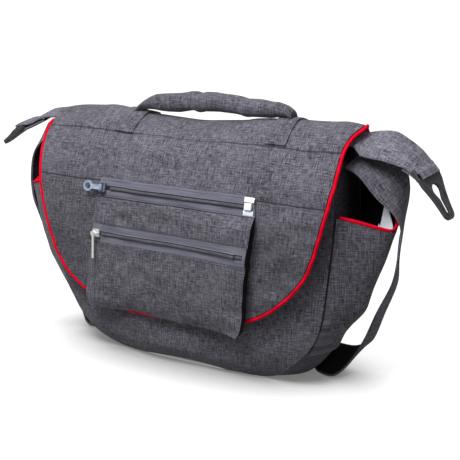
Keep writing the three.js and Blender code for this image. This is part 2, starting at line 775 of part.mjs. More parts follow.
function buildLowerSlider() {
  const z = (lowerTapeTop + lowerTapeFoot) / 2;
  const edges = pouchEdges(z);
  const reach = sliderInset + sliderLength / 2;
  const share = reach / (edges.right - edges.left);
  const place = stand(edges.left + sliderInset, z, pouchCrown(share, z) + tapeWall + seamGap);
  const bridgeRise = dropWall + 2 * seamGap;
  let body = solid(block(sliderLength, sliderWidth * 0.8, sliderHeight, 0, 0, sliderHeight / 2));
  const legX = sliderLength / 2 - bridgeLeg / 2 - 0.4;
  for (const side of [-1, 1]) {
    const middle = sliderHeight + bridgeRise / 2;
    body = body.add(solid(block(bridgeLeg, bridgeLeg, bridgeRise + 2 * weld, side * legX, 0, middle)));
  }
  const barHeight = sliderHeight + bridgeRise + bridgeWall / 2;
  body = body.add(solid(block(2 * legX + bridgeLeg, bridgeLeg, bridgeWall, 0, 0, barHeight)));
  addPiece('zip_slider_lower', geometryOf(body), zipMetal, place);

  // The eye of the small pull goes round the left leg of the slider's bridge.
  const eyeDrop = dropEyeHole - bridgeLeg / 2 - seamGap;
  const plate = new THREE.Shape();
  plate.absarc(0, 0, dropEyeRadius, -Math.PI * 0.36, Math.PI * 1.36, false);
  plate.lineTo(-dropWidth / 2, -dropLength);
  plate.lineTo(dropWidth / 2, -dropLength);
  const hole = new THREE.Path();
  hole.absarc(0, 0, dropEyeHole, 0, Math.PI * 2, true);
  plate.holes.push(hole);
  const drop = new THREE.ExtrudeGeometry(plate, { depth: dropWall, bevelEnabled: false, curveSegments: 16 });
  drop.translate(-legX, -eyeDrop, sliderHeight + seamGap);
  addPiece('zip_pull_lower', drop, zipMetal, place);
}

// Grab handle: stations from its left end to its right end, in shares of its sizes.
const handleRows = [
  { out: -1, rise: 0, thick: 0.3, wide: 1.05 },
  { out: -0.985, rise: 0.2, thick: 0.4, wide: 1.02 },
  { out: -0.91, rise: 0.44, thick: 0.48, wide: 0.98 },
  { out: -0.76, rise: 0.5, thick: 0.85, wide: 0.95 },
  { out: -0.45, rise: 0.66, thick: 1, wide: 1 },
  { out: -0.15, rise: 0.94, thick: 1, wide: 1 },
  { out: 0.15, rise: 1, thick: 0.96, wide: 1 },
  { out: 0.5, rise: 0.98, thick: 0.95, wide: 1 },
  { out: 0.76, rise: 0.84, thick: 0.84, wide: 0.98 },
  { out: 0.93, rise: 0.62, thick: 0.5, wide: 0.98 },
  { out: 1, rise: 0.26, thick: 0.38, wide: 1.02 },
  { out: 1.015, rise: 0, thick: 0.3, wide: 1.05 },
];
const handleSides = 10;

function buildHandle() {
  const tabTop = (x) => overFlap(x, ridgeRun, seamGap + 0.1 + tabWall).z + 2 * pipingGap;
  const left = tabTop(handleOffset - handleReach);
  const right = tabTop(handleOffset + handleReach);
  const centres = handleRows.map((row) => {
    const foot = mix(left, right, (row.out + 1) / 2);
    return vec(handleOffset + row.out * handleReach, 0, mix(foot, ridgeHeight + handleRise, row.rise));
  });
  const path = new THREE.CatmullRomCurve3(centres, false, 'centripetal');
  const rings = [];
  const last = handleRows.length - 1;
  const steps = 24;
  const rows = handleRows.map((row, i) => ({ ...row, at: i / last }));
  for (let i = 0; i <= steps; i += 1) {
    const t = i / steps;
    const centre = path.getPoint(t);
    const along = path.getTangent(t);
    const up = vec(-along.z, 0, along.x).normalize();
    const thick = (handleThickness / 2) * between(rows, 'at', 'thick', t);
    const wide = (handleWidth / 2) * between(rows, 'at', 'wide', t);
    const ring = [];
    for (let k = 0; k < handleSides; k += 1) {
      const angle = (2 * Math.PI * k) / handleSides;
      const point = centre.clone().addScaledVector(up, thick * Math.sin(angle));
      ring.push(point.add(vec(0, wide * Math.cos(angle), 0)));
    }
    rings.push(ring);
  }
  addPiece('handle', loft(rings), heather);

  const footRun = runAtHeight(tabFoot);
  for (const [name, out] of [['left', -1], ['right', 1]]) {
    const middle = handleOffset + out * handleReach;
    const tab = (u, v) => {
      const x = middle + (u - 0.5) * tabWidth;
      return overFlap(x, mix(tabTopRun, footRun, v), seamGap + 0.1);
    };
    addPiece(`handle_tab_${name}`, clothSheet(tab, tabWall, 2, 12, () => vec(0, -0.3, 1)), heather);
  }
}

// Shoulder strap, right half, from the side seam down to the floor and round the back:
// its front edge (F) and back edge (B), in shares of its reach, depth and height,
// and how much higher the left side bows.
const shoulderRows = [
  { outF: 0.83, backF: -0.54, upF: 0.965, outB: 0.885, backB: 0.23, upB: 1.045, high: 0.03 },
  { outF: 0.91, backF: -0.5, upF: 0.88, outB: 0.98, backB: 0.29, upB: 1.0, high: 0.08 },
  { outF: 0.987, backF: -0.4, upF: 0.81, outB: 0.998, backB: 0.42, upB: 0.9, high: 0.07 },
  { outF: 1.02, backF: -0.34, upF: 0.745, outB: 0.97, backB: 0.56, upB: 0.765, high: 0.02 },
  { outF: 1.015, backF: -0.33, upF: 0.66, outB: 0.95, backB: 0.6, upB: 0.66, high: 0 },
  { outF: 1, backF: -0.24, upF: 0.58, outB: 0.945, backB: 0.625, upB: 0.56, high: 0 },
  { outF: 0.97, backF: -0.14, upF: 0.48, outB: 0.94, backB: 0.65, upB: 0.45, high: 0 },
  { outF: 0.9, backF: -0.06, upF: 0.34, outB: 0.885, backB: 0.67, upB: 0.3, high: 0 },
  { outF: 0.84, backF: -0.02, upF: 0.2, outB: 0.835, backB: 0.69, upB: 0.17, high: 0 },
  { outF: 0.775, backF: 0.04, upF: 0.085, outB: 0.785, backB: 0.71, upB: 0.13, high: 0 },
  { outF: 0.71, backF: 0.08, upF: 0.012, outB: 0.73, backB: 0.67, upB: 0.115, high: 0 },
  { outF: 0.62, backF: 0.21, upF: 0.006, outB: 0.635, backB: 0.71, upB: 0.118, high: 0 },
  { outF: 0.54, backF: 0.54, upF: 0.006, outB: 0.545, backB: 0.92, upB: 0.132, high: 0 },
  { outF: 0.42, backF: 0.81, upF: 0.006, outB: 0.42, backB: 1.02, upB: 0.142, high: 0 },
  { outF: 0.22, backF: 0.92, upF: 0.006, outB: 0.22, backB: 1.04, upB: 0.145, high: 0 },
  { outF: 0, backF: 0.94, upF: 0.006, outB: 0, backB: 1.04, upB: 0.145, high: 0 },
];

function buildShoulderStrap() {
  const edge = (side, out, back, up) => vec(side * strapReach * out, strapBack * back, strapTop * up + strapLift);
  // Each end is sewn to the top of the side band.
  const rootX = gussetHalfWidth(strapTop - strapWall, 0.5, 1) + seamGap + 0.2;
  const half = (side) => {
    const rows = shoulderRows.map((row) => {
      const high = side < 0 ? row.high : 0;
      return {
        front: edge(side, row.outF, row.backF, row.upF + high),
        back: edge(side, row.outB, row.backB, row.upB + high * 0.3),
      };
    });
    const root = { front: edge(0, 0, -0.5, 0.995), back: edge(0, 0, 0.27, 1.02) };
    root.front.x = side * rootX;
    root.back.x = side * rootX;
    return [root, ...rows];
  };
  const left = half(-1).slice(0, -1).reverse();
  addPiece('shoulder_strap', ribbon(half(1).concat(left), strapWall, 72), heather);
}

// Hook straps: the two edges past the flap's corner, where each strap bends over to its
// clip. The right one lies open to the front, the left one turns edge on.
const rightHookRows = [
  { outF: 0.745, upF: 1.053, outB: 0.779, upB: 1.145 },
  { outF: 0.825, upF: 1.042, outB: 0.842, upB: 1.147 },
  { outF: 0.883, upF: 1.03, outB: 0.897, upB: 1.117 },
  { outF: 0.92, upF: 1.02, outB: 0.943, upB: 1.083 },
  { outF: 0.955, upF: 1.002, outB: 0.975, upB: 1.048 },
  { outF: 0.976, upF: 0.99, outB: 0.985, upB: 1.03 },
];
const leftHookRows = [
  { outF: 0.755, upF: 1.072, outB: 0.78, upB: 1.08 },
  { outF: 0.81, upF: 1.069, outB: 0.828, upB: 1.085 },
  { outF: 0.88, upF: 1.042, outB: 0.885, upB: 1.062 },
  { outF: 0.933, upF: 1.021, outB: 0.933, upB: 1.036 },
];

function buildHook(side, name, rows, tilt, swing) {
  const stations = rows.map((row) => ({
    front: vec(side * hookReach * row.outF, hookFront, hookHeight * row.upF),
    back: vec(side * hookReach * row.outB, hookBack, hookHeight * row.upB),
  }));
  // Its root lies under the flap's corner, clear of the piping.
  const under = -(flapWall / 2 + pipingRadius + pipingGap + hookStrapWall / 2 + hookSeat);
  for (const x of [flapHalfWidth, flapHalfWidth - hookStrapWall * 3]) {
    stations.unshift({
      front: overFlap(side * x, ridgeRun + hookRootFront, under),
      back: overFlap(side * (x + pipingRadius), ridgeRun + hookRootBack, under),
    });
  }
  addPiece(`hook_strap_${name}`, ribbon(stations, hookStrapWall, 20), heather);

  // The clip's outline lies in its own plane: x down its length, y across the strap.
  const outline = new THREE.Shape();
  const shoulder = clipLength * 0.2;
  const tipCentre = clipLength - clipTip;
  outline.moveTo(0, -clipHalfWidth);
  outline.lineTo(shoulder, -clipHalfWidth * 0.93);
  outline.quadraticCurveTo(clipLength * 0.5, -clipHalfWidth * 0.55, tipCentre, -clipTip);
  outline.absarc(tipCentre, 0, clipTip, -Math.PI / 2, Math.PI / 2, false);
  outline.quadraticCurveTo(clipLength * 0.5, clipHalfWidth * 0.55, shoulder, clipHalfWidth * 0.93);
  outline.lineTo(0, clipHalfWidth);
  const eye = new THREE.Path();
  const wideX = clipLength * 0.36;
  const narrowX = tipCentre - clipEyeNarrow / 2;
  eye.absarc(wideX, 0, clipEyeWide, Math.PI * 0.35, Math.PI * 1.65, false);
  eye.lineTo(wideX + clipEyeWide * 1.4, -clipEyeNarrow);
  eye.absarc(narrowX, 0, clipEyeNarrow, -Math.PI / 2, Math.PI / 2, false);
  eye.lineTo(wideX + clipEyeWide * 1.4, clipEyeNarrow);
  outline.holes.push(eye);
  const clip = new THREE.ExtrudeGeometry(outline, { depth: clipWall, bevelEnabled: false, curveSegments: 8 });
  clip.translate(0, 0, -clipWall / 2);

  const place = new THREE.Group();
  const end = stations[stations.length - 1];
  const drop = THREE.MathUtils.degToRad(tilt);
  const back = THREE.MathUtils.degToRad(swing);
  const along = vec(side * Math.cos(drop) * Math.cos(back), Math.sin(back), -Math.sin(drop) * Math.cos(back));
  const across = end.back.clone().sub(end.front).normalize();
  across.addScaledVector(along, -across.dot(along)).normalize();
  place.applyMatrix4(new THREE.Matrix4().makeBasis(along, across, along.clone().cross(across)));
  const skew = Math.abs(end.back.clone().sub(end.front).dot(along)) / 2;
  place.position.copy(end.front).add(end.back).multiplyScalar(0.5).addScaledVector(along, skew + clipGap);
  bag.add(place);
  addPiece(`clip_hook_${name}`, clip, hookPlastic, place);
}

buildBody();
buildFlap();
buildPouch();
buildZips();
buildUpperSlider();
buildRetainer();
buildLowerSlider();
buildHandle();
buildShoulderStrap();
buildPocket(1, 'right');
buildPocket(-1, 'left');
buildHook(1, 'right', rightHookRows, rightClipTilt, 0);
buildHook(-1, 'left', leftHookRows, leftClipTilt, leftClipSwing);

export default bag;
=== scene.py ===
import math

import bmesh
import bpy
import numpy as np
from mathutils import Matrix, Vector
from mathutils.bvhtree import BVHTree


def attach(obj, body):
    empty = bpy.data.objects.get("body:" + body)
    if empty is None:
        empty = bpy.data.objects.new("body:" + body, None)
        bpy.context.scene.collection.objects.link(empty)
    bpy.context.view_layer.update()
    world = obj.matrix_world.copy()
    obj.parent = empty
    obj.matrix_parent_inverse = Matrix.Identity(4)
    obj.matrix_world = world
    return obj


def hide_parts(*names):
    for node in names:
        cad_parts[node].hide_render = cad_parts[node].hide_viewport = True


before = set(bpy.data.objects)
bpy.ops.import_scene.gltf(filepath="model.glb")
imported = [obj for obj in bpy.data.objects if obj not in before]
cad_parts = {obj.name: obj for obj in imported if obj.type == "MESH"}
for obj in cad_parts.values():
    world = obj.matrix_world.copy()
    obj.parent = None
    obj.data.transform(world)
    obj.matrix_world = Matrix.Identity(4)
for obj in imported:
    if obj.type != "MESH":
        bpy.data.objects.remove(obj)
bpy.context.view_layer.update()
scene = bpy.context.scene
mm = 0.001
print("frame loaded")


# Small helpers

def editMode(on):
    bpy.ops.object.mode_set(mode="EDIT" if on else "OBJECT")


def deselect():
    if bpy.context.mode != "OBJECT":
        editMode(False)
    bpy.ops.object.select_all(action="DESELECT")


def pick(piece):
    deselect()
    piece.select_set(True)
    bpy.context.view_layer.objects.active = piece


def applyModifier(piece, kind, **values):
    pick(piece)
    modifier = piece.modifiers.new(kind.lower(), kind)
    for key, value in values.items():
        setattr(modifier, key, value)
    bpy.ops.object.modifier_apply(modifier=modifier.name)


def subdivide(piece, levels):
    applyModifier(piece, "SUBSURF", levels=levels, render_levels=levels)


def readPoints(piece):
    points = np.empty(len(piece.data.vertices) * 3)
    piece.data.vertices.foreach_get("co", points)
    return points.reshape(-1, 3)


def pointsOf(piece):
    # the points in metres, then their x, y and z in millimetres
    points = readPoints(piece)
    return (points, *(points / mm).T)


def writePoints(piece, points):
    piece.data.vertices.foreach_set("co", points.ravel())
    piece.data.update()


def newObject(name, data):
    made = bpy.data.objects.new(name, data)
    scene.collection.objects.link(made)
    return made


def newPiece(name, points, faces):
    mesh = bpy.data.meshes.new(name)
    mesh.from_pydata([tuple(p) for p in points], [], faces)
    mesh.update()
    return newObject(name, mesh)


def smoothShade(piece, degrees=40):
    pick(piece)
    bpy.ops.object.shade_smooth_by_angle(angle=math.radians(degrees))


def creaseSharp(piece, degrees):
    mesh = bmesh.new()
    mesh.from_mesh(piece.data)
    layers = mesh.edges.layers.float
    layer = layers.get("crease_edge") or layers.new("crease_edge")
    for edge in mesh.edges:
        if len(edge.link_faces) == 2 and edge.calc_face_angle() > math.radians(degrees):
            edge[layer] = 1
    mesh.to_mesh(piece.data)
    mesh.free()


def mergedCopy(source, name, quads=False):
    # a plain solid's own copy, with the corners of its faces joined
    piece = newObject(name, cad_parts[source].data.copy())
    piece.data.materials.clear()
    pick(piece)
    bpy.ops.mesh.customdata_custom_splitnormals_clear()
    editMode(True)
    bpy.ops.mesh.select_all(action="SELECT")
    bpy.ops.mesh.remove_doubles(threshold=0.00003)
    if quads:
        bpy.ops.mesh.tris_convert_to_quads(face_threshold=math.radians(70),
                                           shape_threshold=math.radians(90))
    editMode(False)
    return piece


def clothFrom(source, name, levels, where, sharp=50):
    # a smooth copy of a plain cloth solid with its flat coordinates, ready for folds
    piece = mergedCopy(source, name, True)
    creaseSharp(piece, sharp)
    subdivide(piece, levels)
    smoothShade(piece)
    setUv(piece, where)
    return piece


def unit(rows):
    return rows / np.maximum(np.linalg.norm(rows, axis=-1, keepdims=True), 1e-9)


def ripple(a, b, size, seed):
    # a soft uneven swell of about -1 to 1, with bumps about that size across
    draw = np.random.RandomState(seed)
    total = 0
    for _ in range(7):
        turn, phase = draw.uniform(0, 2 * math.pi, 2)
        pace = 2 * math.pi * draw.uniform(0.7, 1.5) / size
        total = total + np.sin((a * math.cos(turn) + b * math.sin(turn)) * pace + phase)
    return total / 3


def nearLine(a, b, start, end):
    # each spot's share of the way from start to end, and how far off the line it lies
    way = np.array(end, float) - np.array(start, float)
    share = np.clip(((a - start[0]) * way[0] + (b - start[1]) * way[1]) / (way @ way), 0, 1)
    return share, np.hypot(a - start[0] - share * way[0], b - start[1] - share * way[1])


def fold(a, b, start, end, width, depth):
    # a soft ridge or, with a negative depth, a groove from start to end
    share, far = nearLine(a, b, start, end)
    fade = np.clip(4 * share * (1 - share), 0, 1) ** 0.5
    return depth * fade * np.exp(-((far / width) ** 2))


def withFolds(rise, a, b, folds, gain=1):
    for start, end, width, depth in folds:
        rise = rise + gain * fold(a, b, start, end, width, depth)
    return rise


def ramp(value, start, end):
    # 0 at the start and 1 at the end, straight between them
    return np.clip((value - start) / (end - start), 0, 1)


def mound(a, b, middle, reach):
    # 1 at the middle, falling off softly over the reach
    return np.exp(-((a - middle[0]) ** 2 + (b - middle[1]) ** 2) / reach ** 2)


def moved(points, share, way):
    # each point shifted by its share of a way in millimetres
    return points + share[:, None] * np.array(way) * mm


def runOn(route, a, b):
    # how far along a flat route each spot lies
    best = np.full(len(a), 1e9)
    run = np.zeros(len(a))
    start = 0
    for p, q in zip(route[:-1], route[1:]):
        share, far = nearLine(a, b, p, q)
        run = np.where(far < best, start + share * math.dist(p, q), run)
        best = np.minimum(best, far)
        start += math.dist(p, q)
    return run


def writeUv(piece, uv):
    # flat cloth coordinates for each point, given in millimetres and kept in metres
    layer = piece.data.uv_layers.get("clothUv") or piece.data.uv_layers.new(name="clothUv")
    corners = np.empty(len(piece.data.loops), dtype=np.int32)
    piece.data.loops.foreach_get("vertex_index", corners)
    layer.data.foreach_set("uv", (uv * mm)[corners].ravel())


def setUv(piece, where):
    # where works out the cloth coordinates from a spot in millimetres
    writeUv(piece, np.stack(where(*(readPoints(piece) / mm).T), 1))


def placeAt(spot, *axes):
    # the matrix that turns a small mesh to its axes and moves it to a spot
    place = Matrix(axes).transposed().to_4x4()
    place.translation = spot
    return place


def repeated(name, shape, places):
    # one small mesh, copied to each place (a matrix) and joined
    points = np.array([v.co for v in shape.vertices])
    faces = [tuple(p.vertices) for p in shape.polygons]
    allPoints, allFaces = [], []
    for place in places:
        shift = len(allPoints) * len(points)
        matrix = np.array(place)
        allPoints.append(points @ matrix[:3, :3].T + matrix[:3, 3])
        allFaces += [tuple(i + shift for i in face) for face in faces]
    piece = newPiece(name, np.concatenate(allPoints), allFaces)
    smoothShade(piece, 50)
    return piece


def sinkFaces(piece, test, rim, way):
    # the faces that pass the test sink inside a narrow rim
    pick(piece)
    editMode(True)
    bpy.ops.mesh.select_mode(type="FACE")
    bpy.ops.mesh.select_all(action="DESELECT")
    editMode(False)
    for face in piece.data.polygons:
        face.select = bool(test(face))
    editMode(True)
    bpy.ops.mesh.inset(thickness=rim, depth=0, use_even_offset=False)
    bpy.ops.transform.translate(value=tuple(way))
    editMode(False)


def roundEdges(piece, width, degrees=40, segments=2, shade=35):
    applyModifier(piece, "BEVEL", width=width, segments=segments, limit_method="ANGLE",
                  angle_limit=math.radians(degrees))
    smoothShade(piece, shade)


def joinPieces(name, pieces):
    pick(pieces[0])
    for piece in pieces:
        piece.select_set(True)
    bpy.ops.object.join()
    pieces[0].name = name
    pick(pieces[0])
    bpy.ops.object.transform_apply()
    return pieces[0]


def cube(size, **values):
    deselect()
    bpy.ops.mesh.primitive_cube_add(size=1, **values)
    bpy.context.object.scale = size
    bpy.ops.object.transform_apply(scale=True)
    return bpy.context.object


def shapeOf(piece, width, degrees):
    # the mesh of a small piece with its edges rounded, without the piece
    roundEdges(piece, width, degrees, 1)
    mesh = piece.data.copy()
    bpy.data.objects.remove(piece)
    return mesh


deselect()
bpy.ops.mesh.primitive_cylinder_add(vertices=8, radius=0.00028, depth=0.0021, rotation=(0, math.pi / 2, 0))
bpy.ops.object.transform_apply(rotation=True)
threadShape = shapeOf(bpy.context.object, 0.00012, 50)


def stitches(name, points, normals, pitch=3.1):
    # points in millimetres along the seam, with the direction out of the cloth at each
    points, normals = np.array(points, float), unit(np.array(normals, float))
    run = np.concatenate([[0], np.cumsum(np.linalg.norm(np.diff(points, axis=0), axis=1))])
    places = []
    for at in np.arange(pitch / 2, run[-1], pitch):
        spot, ahead, behind = (np.array([np.interp(at + off, run, points[:, k]) for k in range(3)])
                               for off in (0, 0.5, -0.5))
        out = Vector([np.interp(at, run, normals[:, k]) for k in range(3)]).normalized()
        along = Vector(ahead - behind).normalized()
        side = out.cross(along).normalized()
        places.append(placeAt(Vector(spot) * mm + out * 0.00012, along, side, along.cross(side)))
    dress(repeated(name, threadShape, places), "heather_cloth", threadGray)


def ontoFront(piece, route, step=1.5):
    # drops a flat route of x and z from the front onto a piece
    corners = [v.co for v in piece.data.vertices]
    surface = BVHTree.FromPolygons(corners, [p.vertices for p in piece.data.polygons])
    points, normals = [], []
    for a, b in zip(route[:-1], route[1:]):
        count = max(int(math.dist(a, b) / step), 1)
        for i in range(count + 1):
            x, z = (a[k] + (b[k] - a[k]) * i / count for k in (0, 1))
            place, normal = surface.ray_cast(Vector((x * mm, -0.2, z * mm)), Vector((0, 1, 0)))[:2]
            if place:
                points.append(tuple(place / mm))
                normals.append(tuple(normal))
    return points, normals


def secondWhere(piece, test):
    # the faces that pass the test take the piece's second material
    for face in piece.data.polygons:
        face.material_index = int(bool(test(face)))


def dress(piece, slot, *materials, body="bag"):
    for material in materials:
        piece.data.materials.append(material)
    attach(piece, body)


# Materials

def newMaterial(name, roughness, **sockets):
    material = bpy.data.materials.new(name)
    material.use_nodes = True
    tree = material.node_tree
    shader = tree.nodes["Principled BSDF"]
    shader.inputs["Roughness"].default_value = roughness
    for key, value in sockets.items():
        shader.inputs[key].default_value = value
    return material, tree, shader


def node(tree, kind, inputs=None, **values):
    made = tree.nodes.new(kind)
    for key, value in values.items():
        setattr(made, key, value)
    for key, value in (inputs or {}).items():
        if isinstance(value, bpy.types.NodeSocket):
            tree.links.new(value, made.inputs[key])
        else:
            made.inputs[key].default_value = value
    return made


def math2(tree, operation, a, b=0.0, clamp=False):
    return node(tree, "ShaderNodeMath", {0: a, 1: b}, operation=operation, use_clamp=clamp).outputs[0]


def times(tree, a, b):
    return math2(tree, "MULTIPLY", a, b)


def weighted(tree, *parts):
    # the sum of some values, each times its weight
    total = None
    for value, weight in parts:
        share = times(tree, value, weight)
        total = share if total is None else math2(tree, "ADD", total, share)
    return total


def mapRange(tree, value, low, high, toLow=0.0, toHigh=1.0):
    return node(tree, "ShaderNodeMapRange", {
        "Value": value, "From Min": low, "From Max": high, "To Min": toLow, "To Max": toHigh,
    }).outputs[0]


def mixColor(tree, factor, a, b):
    return node(tree, "ShaderNodeMix", {0: factor, 6: a, 7: b}, data_type="RGBA").outputs[2]


def splitAxes(tree, vector):
    return node(tree, "ShaderNodeSeparateXYZ", {0: vector}).outputs


def newGroup(name, inputs, outputs):
    group = bpy.data.node_groups.new(name, "ShaderNodeTree")
    for label, kind, value in inputs:
        socket = group.interface.new_socket(label, in_out="INPUT", socket_type=kind)
        if value is not None:
            socket.default_value = value
    for label, kind in outputs:
        group.interface.new_socket(label, in_out="OUTPUT", socket_type=kind)
    entry = group.nodes.new("NodeGroupInput")
    outlet = group.nodes.new("NodeGroupOutput")
    return group, entry.outputs, outlet.inputs


def noiseOf(tree, vector, scale, detail=2.0, roughness=0.5):
    return node(tree, "ShaderNodeTexNoise", {
        "Vector": vector, "Scale": scale, "Detail": detail, "Roughness": roughness,
    }).outputs["Fac"]


def stretched(tree, vector, scale):
    return node(tree, "ShaderNodeMapping", {"Vector": vector, "Scale": scale}).outputs[0]


def makeHeatherWeave():
    # melange cloth: short light and dark slubs that cross in both directions
    group, given, out = newGroup("heatherWeave", [
        ("Vector", "NodeSocketVector", None),
        ("Dark", "NodeSocketColor", (0.03, 0.03, 0.035, 1)),
        ("Light", "NodeSocketColor", (0.2, 0.2, 0.22, 1)),
        ("Fleck", "NodeSocketFloat", 0.5),
    ], [("Color", "NodeSocketColor"), ("Height", "NodeSocketFloat"), ("Roughness", "NodeSocketFloat")])
    vector = given["Vector"]
    weft = noiseOf(group, stretched(group, vector, (120, 900, 1)), 1.0, 2.5, 0.62)
    warp = noiseOf(group, stretched(group, vector, (900, 110, 1)), 1.0, 2.5, 0.62)
    longWeft = noiseOf(group, stretched(group, vector, (38, 620, 1)), 1.0, 1.0)
    longWarp = noiseOf(group, stretched(group, vector, (560, 30, 1)), 1.0, 1.0)
    split = splitAxes(group, vector)
    threads = 2 * math.pi * 820
    waveU = math2(group, "SINE", times(group, split[0], threads))
    waveV = math2(group, "SINE", times(group, split[1], threads))
    checker = times(group, waveU, waveV)
    over = mapRange(group, checker, -0.6, 0.6)
    crossing = node(group, "ShaderNodeMix", {0: over, 2: weft, 3: warp}).outputs[0]
    both = times(group, math2(group, "ADD", weft, warp), 0.5)
    thread = weighted(group, (crossing, 0.55), (both, 0.45))
    streak = times(group, math2(group, "ADD", longWeft, longWarp), 0.5)
    cloud = noiseOf(group, vector, 22.0, 3.0)
    tone = weighted(group, (thread, 0.62), (streak, 0.28), (cloud, 0.1))
    share = mapRange(group, tone, 0.4, 0.62)
    bright = mapRange(group, weft, 0.6, 0.72)
    brightUp = mapRange(group, warp, 0.6, 0.72)
    flecks = times(group, math2(group, "MAXIMUM", bright, brightUp), given["Fleck"])
    share = math2(group, "ADD", share, flecks, True)
    color = mixColor(group, share, given["Dark"], given["Light"])
    group.links.new(color, out["Color"])
    group.links.new(weighted(group, (thread, 0.7), (checker, 0.12)), out["Height"])
    group.links.new(mapRange(group, thread, 0.3, 0.7, 0.98, 0.82), out["Roughness"])
    return group


def makeSurfaceGrain():
    # fine uneven grain and faint handling marks for moulded and metal pieces
    group, given, out = newGroup("surfaceGrain", [
        ("Vector", "NodeSocketVector", None),
        ("Base", "NodeSocketColor", (0.5, 0.5, 0.5, 1)),
        ("Worn", "NodeSocketColor", (0.6, 0.6, 0.6, 1)),
        ("Grain Size", "NodeSocketFloat", 1500.0),
        ("Roughness", "NodeSocketFloat", 0.4),
    ], [("Color", "NodeSocketColor"), ("Height", "NodeSocketFloat"), ("Roughness", "NodeSocketFloat")])
    grain = noiseOf(group, given["Vector"], given["Grain Size"], 3.0)
    marks = noiseOf(group, stretched(group, given["Vector"], (90, 220, 160)), 1.0, 4.0, 0.65)
    worn = mapRange(group, marks, 0.5, 0.75)
    group.links.new(mixColor(group, worn, given["Base"], given["Worn"]), out["Color"])
    group.links.new(grain, out["Height"])
    uneven = times(group, math2(group, "SUBTRACT", marks, 0.5), 0.35)
    group.links.new(math2(group, "ADD", given["Roughness"], uneven, True), out["Roughness"])
    return group


def makeSeamLine():
    # a thin dark line across the cloth at one place of its run, a little uneven
    group, given, out = newGroup("seamLine", [
        ("Vector", "NodeSocketVector", None),
        ("Position", "NodeSocketFloat", 0.0),
        ("Width", "NodeSocketFloat", 0.0008),
        ("Wander", "NodeSocketFloat", 0.004),
    ], [("Line", "NodeSocketFloat")])
    split = splitAxes(group, given["Vector"])
    drift = noiseOf(group, stretched(group, given["Vector"], (9, 0, 1)), 1.0, 2.0)
    drift = times(group, math2(group, "SUBTRACT", drift, 0.5), given["Wander"])
    far = math2(group, "SUBTRACT", math2(group, "SUBTRACT", split[1], given["Position"]), drift)
    far = math2(group, "DIVIDE", math2(group, "ABSOLUTE", far), given["Width"])
    group.links.new(mapRange(group, far, 0.4, 1.6, 1.0, 0.0), out["Line"])
    return group


heatherWeave = makeHeatherWeave()
seamLine = makeSeamLine()
surfaceGrain = makeSurfaceGrain()


def placeGroup(tree, group, **inputs):
    named = {key.replace("_", " "): value for key, value in inputs.items()}
    return node(tree, "ShaderNodeGroup", named, node_tree=group).outputs


def addBump(tree, shader, height, distance, strength):
    bump = node(tree, "ShaderNodeBump", {"Height": height, "Distance": distance, "Strength": strength})
    tree.links.new(bump.outputs[0], shader.inputs["Normal"])


def finishWith(tree, shader, look, distance, strength):
    tree.links.new(look["Color"], shader.inputs["Base Color"])
    tree.links.new(look["Roughness"], shader.inputs["Roughness"])
    addBump(tree, shader, look["Height"], distance, strength)


def heatherCloth(name, dark, light, fleck=0.5, sheen=0.12, seams=(), fade=None):
    material, tree, shader = newMaterial(name, 0.9, **{"Sheen Weight": sheen, "Sheen Roughness": 0.5})
    shader.inputs["Specular IOR Level"].default_value = 2 * sheen
    uv = node(tree, "ShaderNodeUVMap", uv_map="clothUv").outputs[0]
    look = placeGroup(tree, heatherWeave, Vector=uv, Dark=dark, Light=light, Fleck=fleck)
    finishWith(tree, shader, look, 0.0006, 0.8)
    color = look["Color"]
    for position, width, wander, depth in seams:
        line = placeGroup(tree, seamLine, Vector=uv, Position=position, Width=width, Wander=wander)["Line"]
        color = mixColor(tree, times(tree, line, depth), color, dark)
    if fade:
        # painted shade: the cloth darkens along one way of its run
        axis, start, end, depth = fade
        run = splitAxes(tree, uv)[axis]
        color = mixColor(tree, mapRange(tree, run, start, end, 0.0, depth), color, dark)
    tree.links.new(color, shader.inputs["Base Color"])
    return material


def moulded(name, base, worn, roughness, grain=1500.0, metal=0.0, bump=0.00005, **sockets):
    material, tree, shader = newMaterial(name, roughness, Metallic=metal, **sockets)
    place = node(tree, "ShaderNodeTexCoord").outputs["Object"]
    look = placeGroup(tree, surfaceGrain, Vector=place, Base=base, Worn=worn,
                      Grain_Size=grain, Roughness=roughness)
    finishWith(tree, shader, look, bump, 0.5)
    return material


violet = (0.98, 0.94, 1.16)


def gray(value):
    return tuple(value * t for t in violet) + (1,)


darkGray, lightGray = gray(0.012), gray(0.17)
flapSeams = [(0.1135, 0.0009, 0.006, 0.75), (0.1795, 0.0009, 0.004, 0.85)]
heather = heatherCloth("heatherCloth", darkGray, lightGray, 0.65)
# the flap's cloth, a little lighter than the bag's and darkening down the front: painted light from above
# and painted shade below
flapLitShaded = heatherCloth("flapClothLitShaded", darkGray, gray(0.18), 0.7, seams=flapSeams,
                          fade=(1, 0.13, 0.25, 0.27))
heatherStrap = heatherCloth("heatherStrap", gray(0.016), gray(0.19), 0.6)
# a lighter copy of the bag's cloth for the hook straps: painted light where they catch the light from above
heatherHookLit = heatherCloth("heatherHookLit", gray(0.022), gray(0.25), 0.7)
heatherSide = heatherCloth("heatherSide", gray(0.009), gray(0.125), 0.5)
# the side band inside the pockets: a darker copy of the side cloth that fades to near black deeper in,
# painted shade in the pocket hollow
heatherHollowShade = heatherCloth("heatherHollowShade", gray(0.0016), gray(0.1), 0.3, 0.02,
                            fade=(0, 0.092, 0.127, 0.98))
# a near-black copy of the cloth for the pouch's right side walls: painted shade
pouchSideShade = heatherCloth("pouchSideShade", gray(0.003), gray(0.03), 0.3, 0.02)
# near-black cloth for the backs of the pockets' insides: painted shade in the pocket hollows
pocketShadeCloth = heatherCloth("pocketShadeCloth", gray(0.0016), gray(0.006), 0.0, 0.0)
